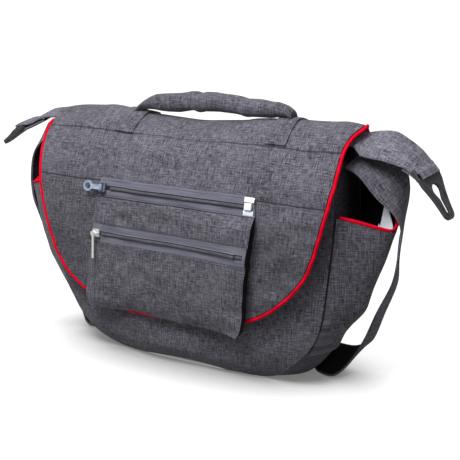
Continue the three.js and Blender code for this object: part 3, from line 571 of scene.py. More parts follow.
# near-black inside face of the straps: painted shade where they lie under and against the bag
strapInnerShade = heatherCloth("strapInnerShade", gray(0.006), gray(0.02), 0.2, 0.02)
backCloth = heatherCloth("backCloth", gray(0.01), gray(0.035), 0.3, 0.05)
whiteLining = heatherCloth("whiteLining", (0.8, 0.83, 0.94, 1), (0.9, 0.92, 1.0, 1), 0.0, 0.05)


def ribbedMaterial(name, low, high, ribs, roughness, stretch, sheen=0.1):
    # a cover with fine ribs across the piece's own uv
    material, tree, shader = newMaterial(name, roughness, **{
        "Sheen Weight": sheen, "Specular IOR Level": 2 * sheen,
    })
    uv = node(tree, "ShaderNodeUVMap", uv_map="clothUv").outputs[0]
    split = splitAxes(tree, uv)
    wave = math2(tree, "SINE", times(tree, split[1], 2 * math.pi * ribs))
    crossWave = math2(tree, "SINE", times(tree, split[0], 2 * math.pi * ribs))
    uneven = noiseOf(tree, stretched(tree, uv, stretch), 1.0, 3.0)
    share = math2(tree, "ADD", times(tree, wave, 0.12), uneven)
    color = mixColor(tree, mapRange(tree, share, 0.3, 0.7), low, high)
    tree.links.new(color, shader.inputs["Base Color"])
    height = math2(tree, "ADD", times(tree, wave, crossWave), uneven)
    addBump(tree, shader, height, 0.00015, 0.6)
    return material


redCover = ribbedMaterial("redCover", (0.56, 0.0, 0.012, 1), (0.8, 0.0, 0.024, 1),
                          900, 0.6, (160, 160, 1), 0.02)
tapeCloth = ribbedMaterial("zipTape", (0.105, 0.104, 0.138, 1), (0.165, 0.163, 0.21, 1),
                           1100, 0.65, (30, 500, 1))

coilPlastic = moulded("coilPlastic", (0.13, 0.135, 0.16, 1), (0.19, 0.2, 0.23, 1), 0.4, 900.0)
# near-black under the coil: painted shade between the teeth
coilGapShade = moulded("coilGapShade", (0.006, 0.006, 0.009, 1), (0.012, 0.012, 0.015, 1), 0.6, 900.0)
pullPlastic = moulded("pullPlastic", (0.24, 0.29, 0.4, 1), (0.36, 0.41, 0.52, 1), 0.32, 1400.0)
sliderPlastic = moulded("sliderPlastic", (0.13, 0.155, 0.22, 1), (0.25, 0.28, 0.36, 1), 0.25, 1400.0, 0.3)
clearPlastic = moulded("clearPlastic", (0.78, 0.8, 0.84, 1), (0.86, 0.88, 0.9, 1), 0.16, 700.0,
                       **{"Coat Weight": 0.6})
zipMetal = moulded("zipMetal", (0.85, 0.84, 0.84, 1), (0.95, 0.94, 0.94, 1), 0.22, 2200.0, 0.55, 0.00002)
hookPlastic = moulded("hookPlastic", (0.05, 0.05, 0.058, 1), (0.085, 0.085, 0.095, 1), 0.42, 1800.0)
threadGray = moulded("threadGray", gray(0.05), gray(0.13), 0.8, 900.0)
print("materials made")


# The flap and its piping, with how the cloth swells and puckers

flapLook = {
    # x, height and reach of the rigid pieces that the cloth lies calm under
    "calm": [(-100, 215, 16), (102, 215, 18), (-102, 160, 14)],
    # height and depth of the stitched seams
    "seams": [(279, 0.9), (223, 0.8)],
    # start, end, width and height of each fold
    "folds": [
        ((-150, 262), (30, 259), 7, 1.0), ((10, 267), (165, 262), 8, 0.9),
        ((-60, 248), (120, 243), 9, -0.9), ((-185, 243), (-70, 240), 8, 0.8),
        ((60, 252), (185, 236), 9, 0.8), ((-192, 262), (-110, 230), 7, -0.7),
        ((120, 196), (186, 206), 8, 0.8), ((114, 140), (160, 176), 9, 0.9),
        ((112, 100), (140, 120), 8, 0.8), ((-120, 236), (20, 233), 6, -0.6),
        ((120, 210), (176, 150), 16, 1.6), ((118, 178), (150, 110), 12, -1.2),
        ((-180, 200), (-128, 120), 14, 1.3), ((-150, 190), (-126, 96), 10, -1.0),
        ((-190, 285), (-90, 292), 10, 1.2), ((60, 293), (170, 297), 9, 1.1),
    ],
    "foldGain": 2.1,
    # where the rear right corner is drawn in, and how far
    "tuck": {"x": (150, 195), "y": (-8, 22), "way": (-13, 0, -1)},
    # where the left piping turns in under the cloth, and how far
    "turnIn": {"x": (-195, -199), "z": (284, 289), "way": (5, 2, -3.5)},
}
flapRoute = [(34, 255), (34, 284), (28, 292), (15, 299), (0, 301), (-10, 299), (-20, 292), (-38, 279),
             (-57, 254), (-71, 222), (-77, 186), (-79, 146), (-79, 60)]


def flapRise(x, y, z, seams=True):
    rise = 1.2 * ripple(x, z, 110, 3) + 0.6 * ripple(x, 2.4 * z, 55, 5)
    rise = withFolds(rise, x, z, flapLook["folds"], flapLook["foldGain"])
    for calmX, calmZ, reach in flapLook["calm"]:
        rise = rise * (1 - mound(x, z, (calmX, calmZ), reach))
    if seams:
        for height, depth in flapLook["seams"]:
            near = z - height - 1.0 * ripple(x, x, 160, 11)
            rise = rise - depth * np.exp(-((near / 1.9) ** 2))
            rise = rise + 0.32 * np.sin(x / 4.1 + 2 * np.sin(x / 23)) * np.exp(-((near / 6) ** 2))
    return np.where(y > 8, rise * 0.3, rise)


def flapOut(x, y, z):
    return unit(np.stack([np.zeros(len(x)), y - 10, np.maximum(z - 225, 0) * 1.2], 1))


def cornerTuck(points):
    x, y, z = (points / mm).T
    tuck = flapLook["tuck"]
    return moved(points, ramp(x, *tuck["x"]) * ramp(y, *tuck["y"]), tuck["way"])


def followFlap(piece, seams=True, extra=None):
    points, x, y, z = pointsOf(piece)
    rise = flapRise(x, y, z, seams)
    if extra:
        rise = rise + extra(x, y, z)
    writePoints(piece, cornerTuck(points + flapOut(x, y, z) * rise[:, None] * mm))


def flapUv(x, y, z):
    return x, runOn(flapRoute, y, z)


flap = clothFrom("flap", "flapCloth", 3, flapUv)
followFlap(flap)
dress(flap, "heather_cloth", flapLitShaded)
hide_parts("flap")


def pipingUv(route):
    def where(x, y, z):
        return runOn(route, x, z), y + z * 0.3
    return where


flapEdgeRoute = [(212, 260), (214, 305), (207, 280), (199, 240), (188, 180), (172, 130), (150, 100),
                 (118, 82), (80, 72), (0, 63), (-80, 72), (-130, 84), (-160, 104), (-180, 140),
                 (-196, 190), (-206, 240), (-212, 280), (-214, 300)]
flapPiping = clothFrom("flap_piping", "flapPiping", 2, pipingUv(flapEdgeRoute), 70)
followFlap(flapPiping, False)
points, x, y, z = pointsOf(flapPiping)
turnIn = flapLook["turnIn"]
writePoints(flapPiping, moved(points, ramp(x, *turnIn["x"]) * ramp(z, *turnIn["z"]), turnIn["way"]))
dress(flapPiping, "red_piping", redCover)
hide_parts("flap_piping")
print("flap made")


# Body panels

bodyLook = {
    "front": [
        ((-120, 60), (-30, 36), 12, 2.2), ((-60, 46), (60, 52), 11, -1.8), ((20, 30), (120, 74), 14, 2.0),
        ((-150, 96), (-90, 40), 12, -1.6), ((120, 100), (172, 150), 12, 1.8), ((90, 36), (150, 70), 9, -1.5),
        ((150, 150), (186, 220), 10, 1.5), ((-100, 24), (60, 20), 7, 1.2), ((40, 14), (110, 30), 6, 1.0),
    ],
    "side": [
        ((-40, 230), (10, 190), 9, 1.6), ((-30, 190), (20, 150), 9, -1.5),
        ((-36, 100), (12, 60), 9, 1.5), ((-30, 60), (18, 84), 7, -1.2), ((-44, 130), (-20, 40), 6, 1.1),
    ],
    # where the front seam runs in to a corner at its right foot, and how far
    "corner": {"x": 158, "reachX": 26, "z": 22, "reachZ": 24, "way": (-10, 0, -5)},
    # the middle of the front's foot stands clear of the floor
    "clear": {"halfWidth": 60, "way": (0, 0, 4)},
    # height, reach and depth of the swell below the pockets
    "swell": {"z": 56, "reach": 16, "depth": 5},
    "shadeAbove": 75,
}
sideRoute = [(0, 0), (60, 0), (97, 0), (126, 6), (150, 20), (170, 42), (184, 72), (190, 112), (194, 160),
             (196, 290)]


def onFloor(points):
    points[:, 2] = np.maximum(points[:, 2], 0)
    return points


def footShape(points):
    x, y, z = (points / mm).T
    corner, clear = bodyLook["corner"], bodyLook["clear"]
    far = ((x - corner["x"]) / corner["reachX"]) ** 2 + ((z - corner["z"]) / corner["reachZ"]) ** 2
    points = moved(points, np.exp(-far) * ramp(-y, 30, 52) * (x > 0), corner["way"])
    middle = np.clip(1 - (x / clear["halfWidth"]) ** 2, 0, 1)
    return onFloor(moved(points, middle * ramp(z, 24, 4) * ramp(-y, 38, 52), clear["way"]))


def flatUv(x, y, z):
    return x, z


def shapeFront(piece, folds, sign):
    points, x, y, z = pointsOf(piece)
    rise = withFolds(1.2 * ripple(x, z, 120, 21) + 0.4 * ripple(x, z, 45, 22), x, z, folds)
    edge = ramp(np.abs(x), 200, 160) * ramp(z, 0, 12) * ramp(z, 258, 228)
    points[:, 1] -= sign * rise * edge * mm
    writePoints(piece, footShape(points))


frontPanel = clothFrom("front_panel", "frontPanel", 3, lambda x, y, z: (x, z - 0.4 * y))
shapeFront(frontPanel, bodyLook["front"], 1)
dress(frontPanel, "heather_cloth", heather)
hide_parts("front_panel")

backPanel = clothFrom("back_panel", "backPanel", 3, flatUv)
shapeFront(backPanel, [], -0.6)
dress(backPanel, "dark_cloth", backCloth)
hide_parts("back_panel")


def sideUv(x, y, z):
    return y + 0.7 * np.abs(x), runOn(sideRoute, np.abs(x), z)


gusset = clothFrom("gusset", "sideBand", 3, sideUv)
points, x, y, z = pointsOf(gusset)
rise = 0.9 * ripple(y * 1.5, runOn(sideRoute, np.abs(x), z), 80, 31)
rise = withFolds(rise, y, z, bodyLook["side"], 0.7)
rise = rise * ramp(y, -54, -42) * ramp(y, 26, 14) * ramp(z, 6, 26)
out = unit(np.stack([np.sign(x), 0 * x, -ramp(z, 90, 0)], 1))
swell = bodyLook["swell"]
full = swell["depth"] * np.exp(-(((z - swell["z"]) / swell["reach"]) ** 2))
full = full * ramp(y, -10, 10) * ramp(y, 34, 26)
points = points + out * (full - np.abs(rise) * 0.6)[:, None] * mm
writePoints(gusset, footShape(points))
dress(gusset, "dark_cloth", heatherSide, heatherHollowShade)
# above the pockets the side band takes the darker copy: painted shade in the pocket hollow
secondWhere(gusset, lambda face: face.center.z > bodyLook["shadeAbove"] * mm)
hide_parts("gusset")
print("body made")


# Side pockets

pocketLook = {
    "folds": [
        ((-34, 178), (-20, 60), 7, 1.3), ((-10, 190), (-6, 80), 8, -1.3), ((6, 180), (14, 90), 7, 1.1),
        ((-48, 120), (0, 84), 8, 1.2), ((-46, 90), (10, 62), 6, -1.1),
    ],
    # where the rear of the mouth leans back behind its strap, and how far
    "lean": {"x": (222, 244), "y": (-18, -10), "z": (120, 170), "back": 7, "leftUp": 4},
    "middle": (212, -14), "seamPull": 1.9, "footPull": 2.5, "liningSize": 0.925, "pipingDrop": 1.6,
}
pocketRoute = [(196, -53), (214, -49), (232, -41), (246, -32), (256, -22), (257, -14), (250, 0), (236, 12),
               (200, 25)]


def leanBack(piece, points):
    x, y, z = (points / mm).T
    lean = pocketLook["lean"]
    share = ramp(np.abs(x), *lean["x"]) * ramp(y, *lean["y"]) * ramp(z, *lean["z"])
    points = moved(points, share, (0, lean["back"], 0))
    writePoints(piece, moved(points, share * (x < 0), (0, 0, lean["leftUp"])))


def pocketUv(x, y, z):
    return runOn(pocketRoute, np.abs(x), y), z


def mouthUv(x, y, z):
    return pocketUv(x, y, z)[0], z + 0.4 * y


for side, label in ((1, "right"), (-1, "left")):
    pocket = clothFrom(f"side_pocket_{label}", f"pocket_{label}", 3, pocketUv)
    points, x, y, z = pointsOf(pocket)
    rise = withFolds(0.8 * ripple(y * 1.4, z, 75, 41 + side), y, z, pocketLook["folds"])
    rise = rise * ramp(y, -54, -44) * ramp(y, 26, 16) * ramp(z, 44, 58)
    rise = rise * np.maximum(ramp(z, 206, 180), 0.15)
    out = unit(np.stack([np.sign(x), (y - pocketLook["middle"][1]) / 45, 0 * x], 1))
    reach = np.maximum(ramp(np.abs(x), 200, 220), 0.2)
    shaped = points + out * (rise * reach)[:, None] * mm
    atSeam = ramp(np.abs(y - pocketLook["middle"][1]), 35, 39)
    atFoot = ramp(z, 96, 76) * ramp(y, -5, 10)
    shaped[:, 0] -= side * (pocketLook["seamPull"] * atSeam + pocketLook["footPull"] * atFoot) * mm
    leanBack(pocket, shaped)
    dress(pocket, "heather_cloth", heather, pocketShadeCloth)
    # the inner faces of the pocket's rear wall take the near-black painted shade
    secondWhere(pocket, lambda face: face.center.y > 0 and face.normal.y < -0.2)
    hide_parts(f"side_pocket_{label}")

    lining = clothFrom(f"pocket_lining_{label}", f"pocketLining_{label}", 2, pocketUv)
    dress(lining, "white_lining", whiteLining, pocketShadeCloth)
    # the rear of the white lining takes the near-black painted shade
    secondWhere(lining, lambda face: face.center.y > 0.004)
    points = readPoints(lining)
    centre = np.array((side * pocketLook["middle"][0], pocketLook["middle"][1])) * mm
    points[:, :2] = centre + (points[:, :2] - centre) * pocketLook["liningSize"]
    leanBack(lining, points)
    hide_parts(f"pocket_lining_{label}")

    piping = clothFrom(f"pocket_piping_{label}", f"pocketPiping_{label}", 2, mouthUv, 70)
    leanBack(piping, readPoints(piping))
    writePoints(piping, readPoints(piping) - np.array((0, 0, pocketLook["pipingDrop"])) * mm)
    dress(piping, "red_piping", redCover)
    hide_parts(f"pocket_piping_{label}")
print("pockets made")


# Pouch with its two zips

pouchLook = {
    "folds": [
        ((-104, 196), (-88, 176), 6, 0.9), ((96, 198), (82, 178), 6, 0.9), ((-100, 140), (-70, 84), 9, 1.0),
        ((88, 144), (70, 82), 9, 1.1), ((-50, 90), (60, 84), 9, -0.8), ((-30, 120), (70, 128), 10, 0.7),
    ],
    # x, height and reach of each place that is drawn out, and how far
    "pulls": [
        (102, 66, 24, (4, -1, -7)), (-113, 74, 26, (-8, 0, -3)),
        (30, 66, 40, (0, 0, -2)), (-58, 66, 20, (0, 0, 1.5)),
    ],
    # where the right side comes to stand off the flap, and how far
    "hang": {"x": (10, 105), "z": (206, 192), "depth": 10, "curve": 1.7},
}


def pouchSwell(x, y, z):
    rise = 0.55 * ripple(x, z, 60, 51) + 0.25 * ripple(1.6 * x, z, 28, 52)
    rise = withFolds(rise, x, z, pouchLook["folds"])
    return rise * ramp(np.abs(z - 160), 12, 22) * ramp(z, 205, 195)


def pouchHang(x, y, z):
    hang = pouchLook["hang"]
    return hang["depth"] * ramp(x, *hang["x"]) ** hang["curve"] * ramp(z, *hang["z"])


def facingFront(piece):
    # 1 where the cloth faces forward and 0 where it faces the bag
    normals = np.empty(len(piece.data.vertices) * 3)
    piece.data.vertices.foreach_get("normal", normals)
    return np.clip(0.5 - 1.2 * normals.reshape(-1, 3)[:, 1], 0, 1)


pouchParts = {}
for source, name in (("pouch_back", "pouchBack"), ("pouch_front_upper", "pouchUpper"),
                     ("pouch_front_lower", "pouchLower")):
    part = clothFrom(source, name, 3, flatUv)
    fuller = 0 if source == "pouch_back" else 1
    forward = 1 if fuller else facingFront(part)
    followFlap(part, False, lambda x, y, z: pouchHang(x, y, z) * forward + fuller * pouchSwell(x, y, z))
    points, x, y, z = pointsOf(part)
    for cornerX, cornerZ, reach, pull in pouchLook["pulls"]:
        points = moved(points, mound(x, z, (cornerX, cornerZ), reach), pull)
    writePoints(part, points)
    roundEdges(part, 0.0005, 50, shade=40)
    dress(part, "heather_cloth", heather, pouchSideShade)
    # faces turned to the right take the near-black painted shade of the pouch's side
    secondWhere(part, lambda face: face.normal.x > 0.6)
    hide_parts(source)
    pouchParts[name] = part

zipLook = {
    "halfCoil": 3.0, "pitch": 1.5,
    # the run of each coil
    "zip_upper": [(-88, 215), (96, 215)], "zip_lower": [(-97, 160), (104, 160)],
}
toothShape = shapeOf(cube((0.00095, 0.0034, 0.0011)), 0.0003, 40)

for source, name in (("zip_upper", "zipTapeUpper"), ("zip_lower", "zipTapeLower")):
    tape = clothFrom(source, name, 2, flatUv)
    followFlap(tape, False, pouchHang)
    dress(tape, "zip_tape", tapeCloth, coilGapShade)
    end, middle = zipLook[source][1]
    # the strip of tape under the coil takes the painted shade that shows between the teeth
    secondWhere(tape, lambda face: (abs(face.center.z / mm - middle) < zipLook["halfCoil"]
                                    and face.center.x < end * mm))
    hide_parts(source)
    pouchParts[name] = tape
    points, normals = ontoFront(tape, zipLook[source], zipLook["pitch"])
    places = []
    for point, normal in zip(points, normals):
        out = Vector(normal)
        side = Vector((1, 0, 0))
        up = out.cross(side).normalized()
        places.append(placeAt(Vector(point) * mm, up.cross(out), up, out))
    coil = repeated(f"{name}Coil", toothShape, places)
    dress(coil, "zip_tape", coilPlastic)
print("pouch made")


# Grab handle

handleLook = {
    "voxel": 0.0042, "pressure": 3.5, "cap": 0.0025,
    "centre": 12, "longer": 1.03, "deeper": 1.1, "fuller": 1.28, "lower": 0.6, "endDrop": 5,
    # start, end, width and height of each crease seen from above
    "creases": [((-12, -16), (4, 14), 4, -2), ((52, -14), (66, 14), 4, -0.9)],
    # how far each end's upper and under side thins
    "leftThins": (-0.5, 0.1), "rightThins": 0.3, "sag": 3,
}
handle = mergedCopy("handle", "handleGrip")
subdivide(handle, 1)
applyModifier(handle, "REMESH", mode="VOXEL", voxel_size=handleLook["voxel"])
before = readPoints(handle)
pick(handle)
cloth = handle.modifiers.new("cloth", "CLOTH")
cloth.settings.use_pressure = True
cloth.settings.uniform_pressure_force = handleLook["pressure"]
cloth.settings.effector_weights.gravity = 0
cloth.settings.quality = 6
for step in range(1, 21):
    scene.frame_set(step)
bpy.ops.object.modifier_apply(modifier="cloth")
shift = readPoints(handle) - before
far = np.linalg.norm(shift, axis=1, keepdims=True)
writePoints(handle, before + shift * np.minimum(1, handleLook["cap"] / np.maximum(far, 1e-9)))
scene.frame_set(1)
subdivide(handle, 1)
handleAxis = [(-96, 304), (-86, 309), (-70, 312), (-40, 315), (-5, 318), (27, 319), (65, 319), (91, 316),
              (110, 311), (120, 306)]


def handleMiddle(x):
    return np.interp(x, *zip(*handleAxis))


points, x, y, z = pointsOf(handle)
along, middle = x - handleLook["centre"], handleMiddle(x)
toEnd = ramp(np.abs(along), 78, 106)
upper, under = handleLook["leftThins"]
taper = np.where(along < 0, np.where(z > middle, upper, under), handleLook["rightThins"]) * toEnd
z = middle + (z - middle) * (handleLook["fuller"] + taper)
z = z - handleLook["lower"] - handleLook["endDrop"] * toEnd ** 2
z = withFolds(z, x, y, handleLook["creases"])
z = z - handleLook["sag"] * ramp(x, 15, 55) * ramp(x, 118, 88) + 0.5 * ripple(x, 2 * y, 38, 61)
x = handleLook["centre"] + along * handleLook["longer"]
writePoints(handle, np.stack([x, y * handleLook["deeper"], z], 1) * mm)
smoothShade(handle, 60)


def handleUv(x, y, z):
    return x, np.arctan2(y, z - handleMiddle(x)) * 11


setUv(handle, handleUv)
dress(handle, "heather_cloth", heather)
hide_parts("handle")

for label in ("left", "right"):
    tab = clothFrom(f"handle_tab_{label}", f"handleTab_{label}", 3, flapUv)
    followFlap(tab, False, lambda x, y, z: -1.5 + 0 * x)
    roundEdges(tab, 0.0007, 50, shade=40)
    dress(tab, "heather_cloth", heather)
    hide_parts(f"handle_tab_{label}")
print("handle made")


# Flat straps: grey cloth outside, near-black painted shade on the inside face, a stitched groove near each
# edge

def smoothRun(rows, count):
    rows = np.array(rows, float)
    rows = np.vstack([2 * rows[0] - rows[1], rows, 2 * rows[-1] - rows[-2]])
    run = []
    for at in np.linspace(0, len(rows) - 3, count):
        i = min(int(at), len(rows) - 4)
        t = at - i
        a, b, c, d = rows[i:i + 4]
        bend, twist = 2 * a - 5 * b + 4 * c - d, 3 * b - a - 3 * c + d
        run.append(0.5 * (2 * b + (c - a) * t + bend * t ** 2 + twist * t ** 3))
    return np.array(run)


strapSection = [(0, 0), (0.015, 0.3), (0.05, 0.46), (0.085, 0.4), (0.12, 0.5), (0.3, 0.54), (0.5, 0.56),
                (0.7, 0.54), (0.88, 0.5), (0.915, 0.4), (0.95, 0.46), (0.985, 0.3)]
strapSection = strapSection + [(1, 0)] + [(s, -h) for s, h in reversed(strapSection[1:])]


def strapPiece(name, rows, wall, count, centre, shadeInside=True):
    # each row is the front and back edge's spot at one place of the strap's run
    front, back = (smoothRun(edge, count) for edge in zip(*rows))
    middle = (front + back) / 2
    along = unit(np.gradient(middle, axis=0))
    across = unit(back - front)
    normal = unit(np.cross(across, along))
    if np.sum(normal * (middle - np.array(centre))) < 0:
        normal = -normal
    width = np.linalg.norm(back - front, axis=1)
    run = np.concatenate([[0], np.cumsum(np.linalg.norm(np.diff(middle, axis=0), axis=1))])
    ring = len(strapSection)
    points, uv = [], []
    for i in range(count):
        for share, rise in strapSection:
            points.append(front[i] + (back[i] - front[i]) * share + normal[i] * wall * rise)
            uv.append((width[i] * share, run[i]))
    faces = []
    walls = (count - 1) * ring
    for i in range(0, walls, ring):
        for k in range(ring):
            a, b = i + k, i + (k + 1) % ring
            faces.append((a, b, b + ring, a + ring))
    faces += [tuple(range(ring)), tuple(walls + k for k in reversed(range(ring)))]
    piece = newPiece(name, np.array(points) * mm, faces)
    writeUv(piece, np.array(uv))
    # the inside faces take the near-black painted shade
    if shadeInside:
        low = [rise < -0.35 for share, rise in strapSection]
        inside = [k for k in range(ring) if low[k] and low[(k + 1) % ring]]
        secondWhere(piece, lambda face: face.index < walls and face.index % ring in inside)
    pick(piece)
    editMode(True)
    bpy.ops.mesh.select_all(action="SELECT")
    bpy.ops.mesh.normals_make_consistent(inside=False)
    editMode(False)
    smoothShade(piece, 60)
    return piece


strapLook = {
    "reach": 258, "back": 48, "top": 262, "lift": 0.2, "wall": 3, "root": 196.5,
    # shares of the reach, depth and height at the front edge, the same at the back edge,
    # and how much higher the left side bows
    "rows": [
        (0.83, -0.54, 0.965, 0.885, 0.23, 1.045, 0.03), (0.91, -0.5, 0.88, 0.98, 0.29, 1.0, 0.08),
        (0.987, -0.4, 0.81, 0.998, 0.42, 0.9, 0.07), (1.02, -0.34, 0.745, 0.97, 0.56, 0.765, 0.02),
        (1.015, -0.33, 0.66, 0.95, 0.6, 0.66, 0), (1, -0.24, 0.58, 0.945, 0.625, 0.56, 0),
        (0.97, -0.14, 0.48, 0.94, 0.65, 0.45, 0), (0.9, -0.06, 0.34, 0.885, 0.67, 0.3, 0),
        (0.84, -0.02, 0.2, 0.835, 0.69, 0.17, 0), (0.775, 0.0, 0.085, 0.785, 0.71, 0.13, 0),
        (0.71, -0.16, 0.012, 0.73, 0.67, 0.115, 0), (0.62, -0.06, 0.006, 0.635, 0.71, 0.118, 0),
        (0.54, 0.4, 0.006, 0.545, 0.92, 0.132, 0), (0.42, 0.81, 0.006, 0.42, 1.02, 0.142, 0),
        (0.22, 0.92, 0.006, 0.22, 1.04, 0.145, 0), (0, 0.94, 0.006, 0, 1.04, 0.145, 0),
    ],
}


def shoulderHalf(side):
    def spot(out, back, up):
        reach = side * strapLook["reach"]
        return (reach * out, strapLook["back"] * back, strapLook["top"] * up + strapLook["lift"])
    root = side * strapLook["root"]
    rows = [((root, *spot(0, -0.5, 0.995)[1:]), (root, *spot(0, 0.27, 1.02)[1:]))]
    for outF, backF, upF, outB, backB, upB, high in strapLook["rows"]:
        high = high if side < 0 else 0
        rows.append((spot(outF, backF, upF + high), spot(outB, backB, upB + high * 0.3)))
    return rows


shoulder = strapPiece("shoulderStrap", shoulderHalf(1) + shoulderHalf(-1)[-2::-1],
                      strapLook["wall"], 300, (0, 0, 130))
dress(shoulder, "heather_cloth", heatherStrap, strapInnerShade)
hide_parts("shoulder_strap")

hookLook = {
    "reach": 290, "height": 262, "front": -24, "back": 10, "wall": 4, "halfWidth": 17,
    # along the clip and out of it: where the strap passes its eye, and where the turned end stops
    "throughEye": [(-4, 2.9), (3.5, 4.3)], "turnedEnd": (2, 4.4), "turnedWall": 3, "turnedLift": 4.6,
    "right": {
        "roots": [((192, -21, 285), (194, 8, 296)), ((204, -21, 285), (206, 8, 296))],
        "rows": [(0.745, 1.053, 0.779, 1.145), (0.825, 1.042, 0.842, 1.147), (0.883, 1.03, 0.897, 1.117),
                 (0.92, 1.02, 0.943, 1.083), (0.955, 1.002, 0.975, 1.048), (0.976, 0.99, 0.985, 1.03)],
    },
    "left": {
        "roots": [((-192, -21, 285), (-194, 8, 295)), ((-204, -21, 286), (-206, 8, 294))],
        "rows": [(0.755, 1.088, 0.78, 1.112), (0.81, 1.076, 0.828, 1.098), (0.88, 1.042, 0.885, 1.062),
                 (0.933, 1.021, 0.933, 1.036)],
    },
}
clipLook = {
    "right": {"spot": (286.8, -7, 260.7), "along": (0.52992, 0, -0.84805),
              "across": (0.18886, 0.97489, 0.11801), "under": -1},
    "left": {"spot": (-272.9, -6.5, 268.0), "along": (-0.83516, 0.17365, -0.52187),
             "across": (0.09462, 0.98007, 0.17468), "under": 1},
    "rim": 0.0015, "recess": 0.0008,
    "armSize": (0.014, 0.0028, 0.0045), "armSpot": (-3.5, 18.6, 1.2),
    "barRadius": 0.0017, "barLength": 0.037, "barSpot": (-7.5, 0, 3.5),
}


def clipAxes(label):
    along, across = (Vector(clipLook[label][key]) for key in ("along", "across"))
    return along, across, along.cross(across)


def atClip(label, x, y, z):
    along, across, facing = clipAxes(label)
    return tuple(Vector(clipLook[label]["spot"]) + along * x + across * y + facing * z)


def clipRow(label, x, half, z):
    return atClip(label, x, -half, z), atClip(label, x, half, z)


for side, label in ((1, "right"), (-1, "left")):
    under, half, reach = clipLook[label]["under"], hookLook["halfWidth"], side * hookLook["reach"]
    rows = list(hookLook[label]["roots"])
    for outF, upF, outB, upB in hookLook[label]["rows"]:
        rows.append(((reach * outF, hookLook["front"], hookLook["height"] * upF),
                     (reach * outB, hookLook["back"], hookLook["height"] * upB)))
    beneath = rows[-3:-1]
    rows[-1:] = [clipRow(label, x, half, -under * z) for x, z in hookLook["throughEye"]]
    strap = strapPiece(f"hookStrap_{label}", rows, hookLook["wall"], 90, (side * 240, -8, 180))
    away = Vector(atClip(label, 0, 0, under * hookLook["turnedLift"])) - Vector(atClip(label, 0, 0, 0))
    rows = [[tuple(Vector(spot) + away) for spot in row] for row in beneath]
    x, z = hookLook["turnedEnd"]
    rows.append(clipRow(label, x, half - 0.5, under * z))
    turned = strapPiece(f"hookStrapEnd_{label}", rows, hookLook["turnedWall"], 30,
                        (side * 240, -8, 180), False)
    dress(turned, "heather_cloth", heatherHookLit)
    dress(strap, "heather_cloth", heatherHookLit, strapInnerShade)
    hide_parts(f"hook_strap_{label}")
print("straps made")


# Rows of stitches

stitchRows = [
    ("flapStitches", flap, [
        [(-196, 276.5), (-60, 276), (60, 275.5), (190, 276.5)], [(-190, 219.5), (-100, 219.5)],
        [(112, 219.5), (186, 219.5)],
    ]),
    ("pouchUpperStitches", pouchParts["pouchUpper"], [
        [(-104, 201), (-104, 173)], [(104, 201), (104, 173)], [(-104, 173.4), (104, 173.4)],
    ]),
    ("pouchLowerStitches", pouchParts["pouchLower"], [
        [(-105, 147), (-110, 70), (93, 70), (98, 147)], [(-105, 146.6), (98, 146.6)],
    ]),
    ("zipUpperStitches", pouchParts["zipTapeUpper"], [
        [(-103, 223.8), (104, 223.8)], [(-103, 206.2), (104, 206.2)],
    ]),
]
for name, target, routes in stitchRows:
    for number, route in enumerate(routes):
        points, normals = ontoFront(target, route)
        stitches(f"{name}_{number + 1}", points, normals)
print("stitches made")


# Rigid pieces

for label in ("right", "left"):
    under, facing = clipLook[label]["under"], clipAxes(label)[2]
    basis = placeAt((0, 0, 0), *clipAxes(label))
    plate = mergedCopy(f"clip_hook_{label}", f"clipPlate_{label}")
    for way in (facing, -facing):
        sinkFaces(plate, lambda face: face.normal.dot(way) > 0.99,
                  clipLook["rim"], -way * clipLook["recess"])
    roundEdges(plate, 0.0005, 50)
    parts = [plate]
    x, y, z = clipLook["armSpot"]
    for reach in (-y, y):
        spot = Vector(atClip(label, x, reach, under * z)) * mm
        arm = cube(clipLook["armSize"], location=spot, rotation=basis.to_euler())
        roundEdges(arm, 0.0008)
        parts.append(arm)
    deselect()
    x, y, z = clipLook["barSpot"]
    spot = Vector(atClip(label, x, y, under * z)) * mm
    turn = (basis @ Matrix.Rotation(math.pi / 2, 4, "X")).to_euler()
    bpy.ops.mesh.primitive_cylinder_add(vertices=20, radius=clipLook["barRadius"],
                                        depth=clipLook["barLength"], location=spot, rotation=turn)
    bar = bpy.context.object
    roundEdges(bar, 0.0003)
    parts.append(bar)
    clip = joinPieces(f"clipHook_{label}", parts)
    dress(clip, "hook_plastic", hookPlastic)
    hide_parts(f"clip_hook_{label}")

rigidLook = [
    ("zip_slider_upper", "sliderUpper", "pull_plastic", sliderPlastic, 0.0005),
    ("zip_retainer_box", "retainerBox", "clear_plastic", clearPlastic, 0.0005),
    ("zip_film_upper", "filmUpper", "clear_plastic", clearPlastic, 0.00012),
    ("zip_film_lower", "filmLower", "clear_plastic", clearPlastic, 0.00012),
    ("zip_slider_lower", "sliderLower", "zip_metal", zipMetal, 0.0003),
    ("zip_pull_lower", "pullLower", "zip_metal", zipMetal, 0.0002),
]
for source, name, slot, material, bevel in rigidLook:
    piece = mergedCopy(source, name)
    roundEdges(piece, bevel)
    dress(piece, slot, material)
    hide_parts(source)

pull = mergedCopy("zip_pull_upper", "pullUpper")
pullLook = {"facing": Vector((0, -0.978024, 0.208491)), "least": 4e-7, "rim": 0.0007, "recess": 0.0004}
sinkFaces(pull, lambda face: face.normal.dot(pullLook["facing"]) > 0.995 and face.area > pullLook["least"],
          pullLook["rim"], -pullLook["facing"] * pullLook["recess"])
roundEdges(pull, 0.0003, 50)
dress(pull, "pull_plastic", pullPlastic, body="zip_pull")
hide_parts("zip_pull_upper")
print("hard pieces made")


# Floor, light and camera

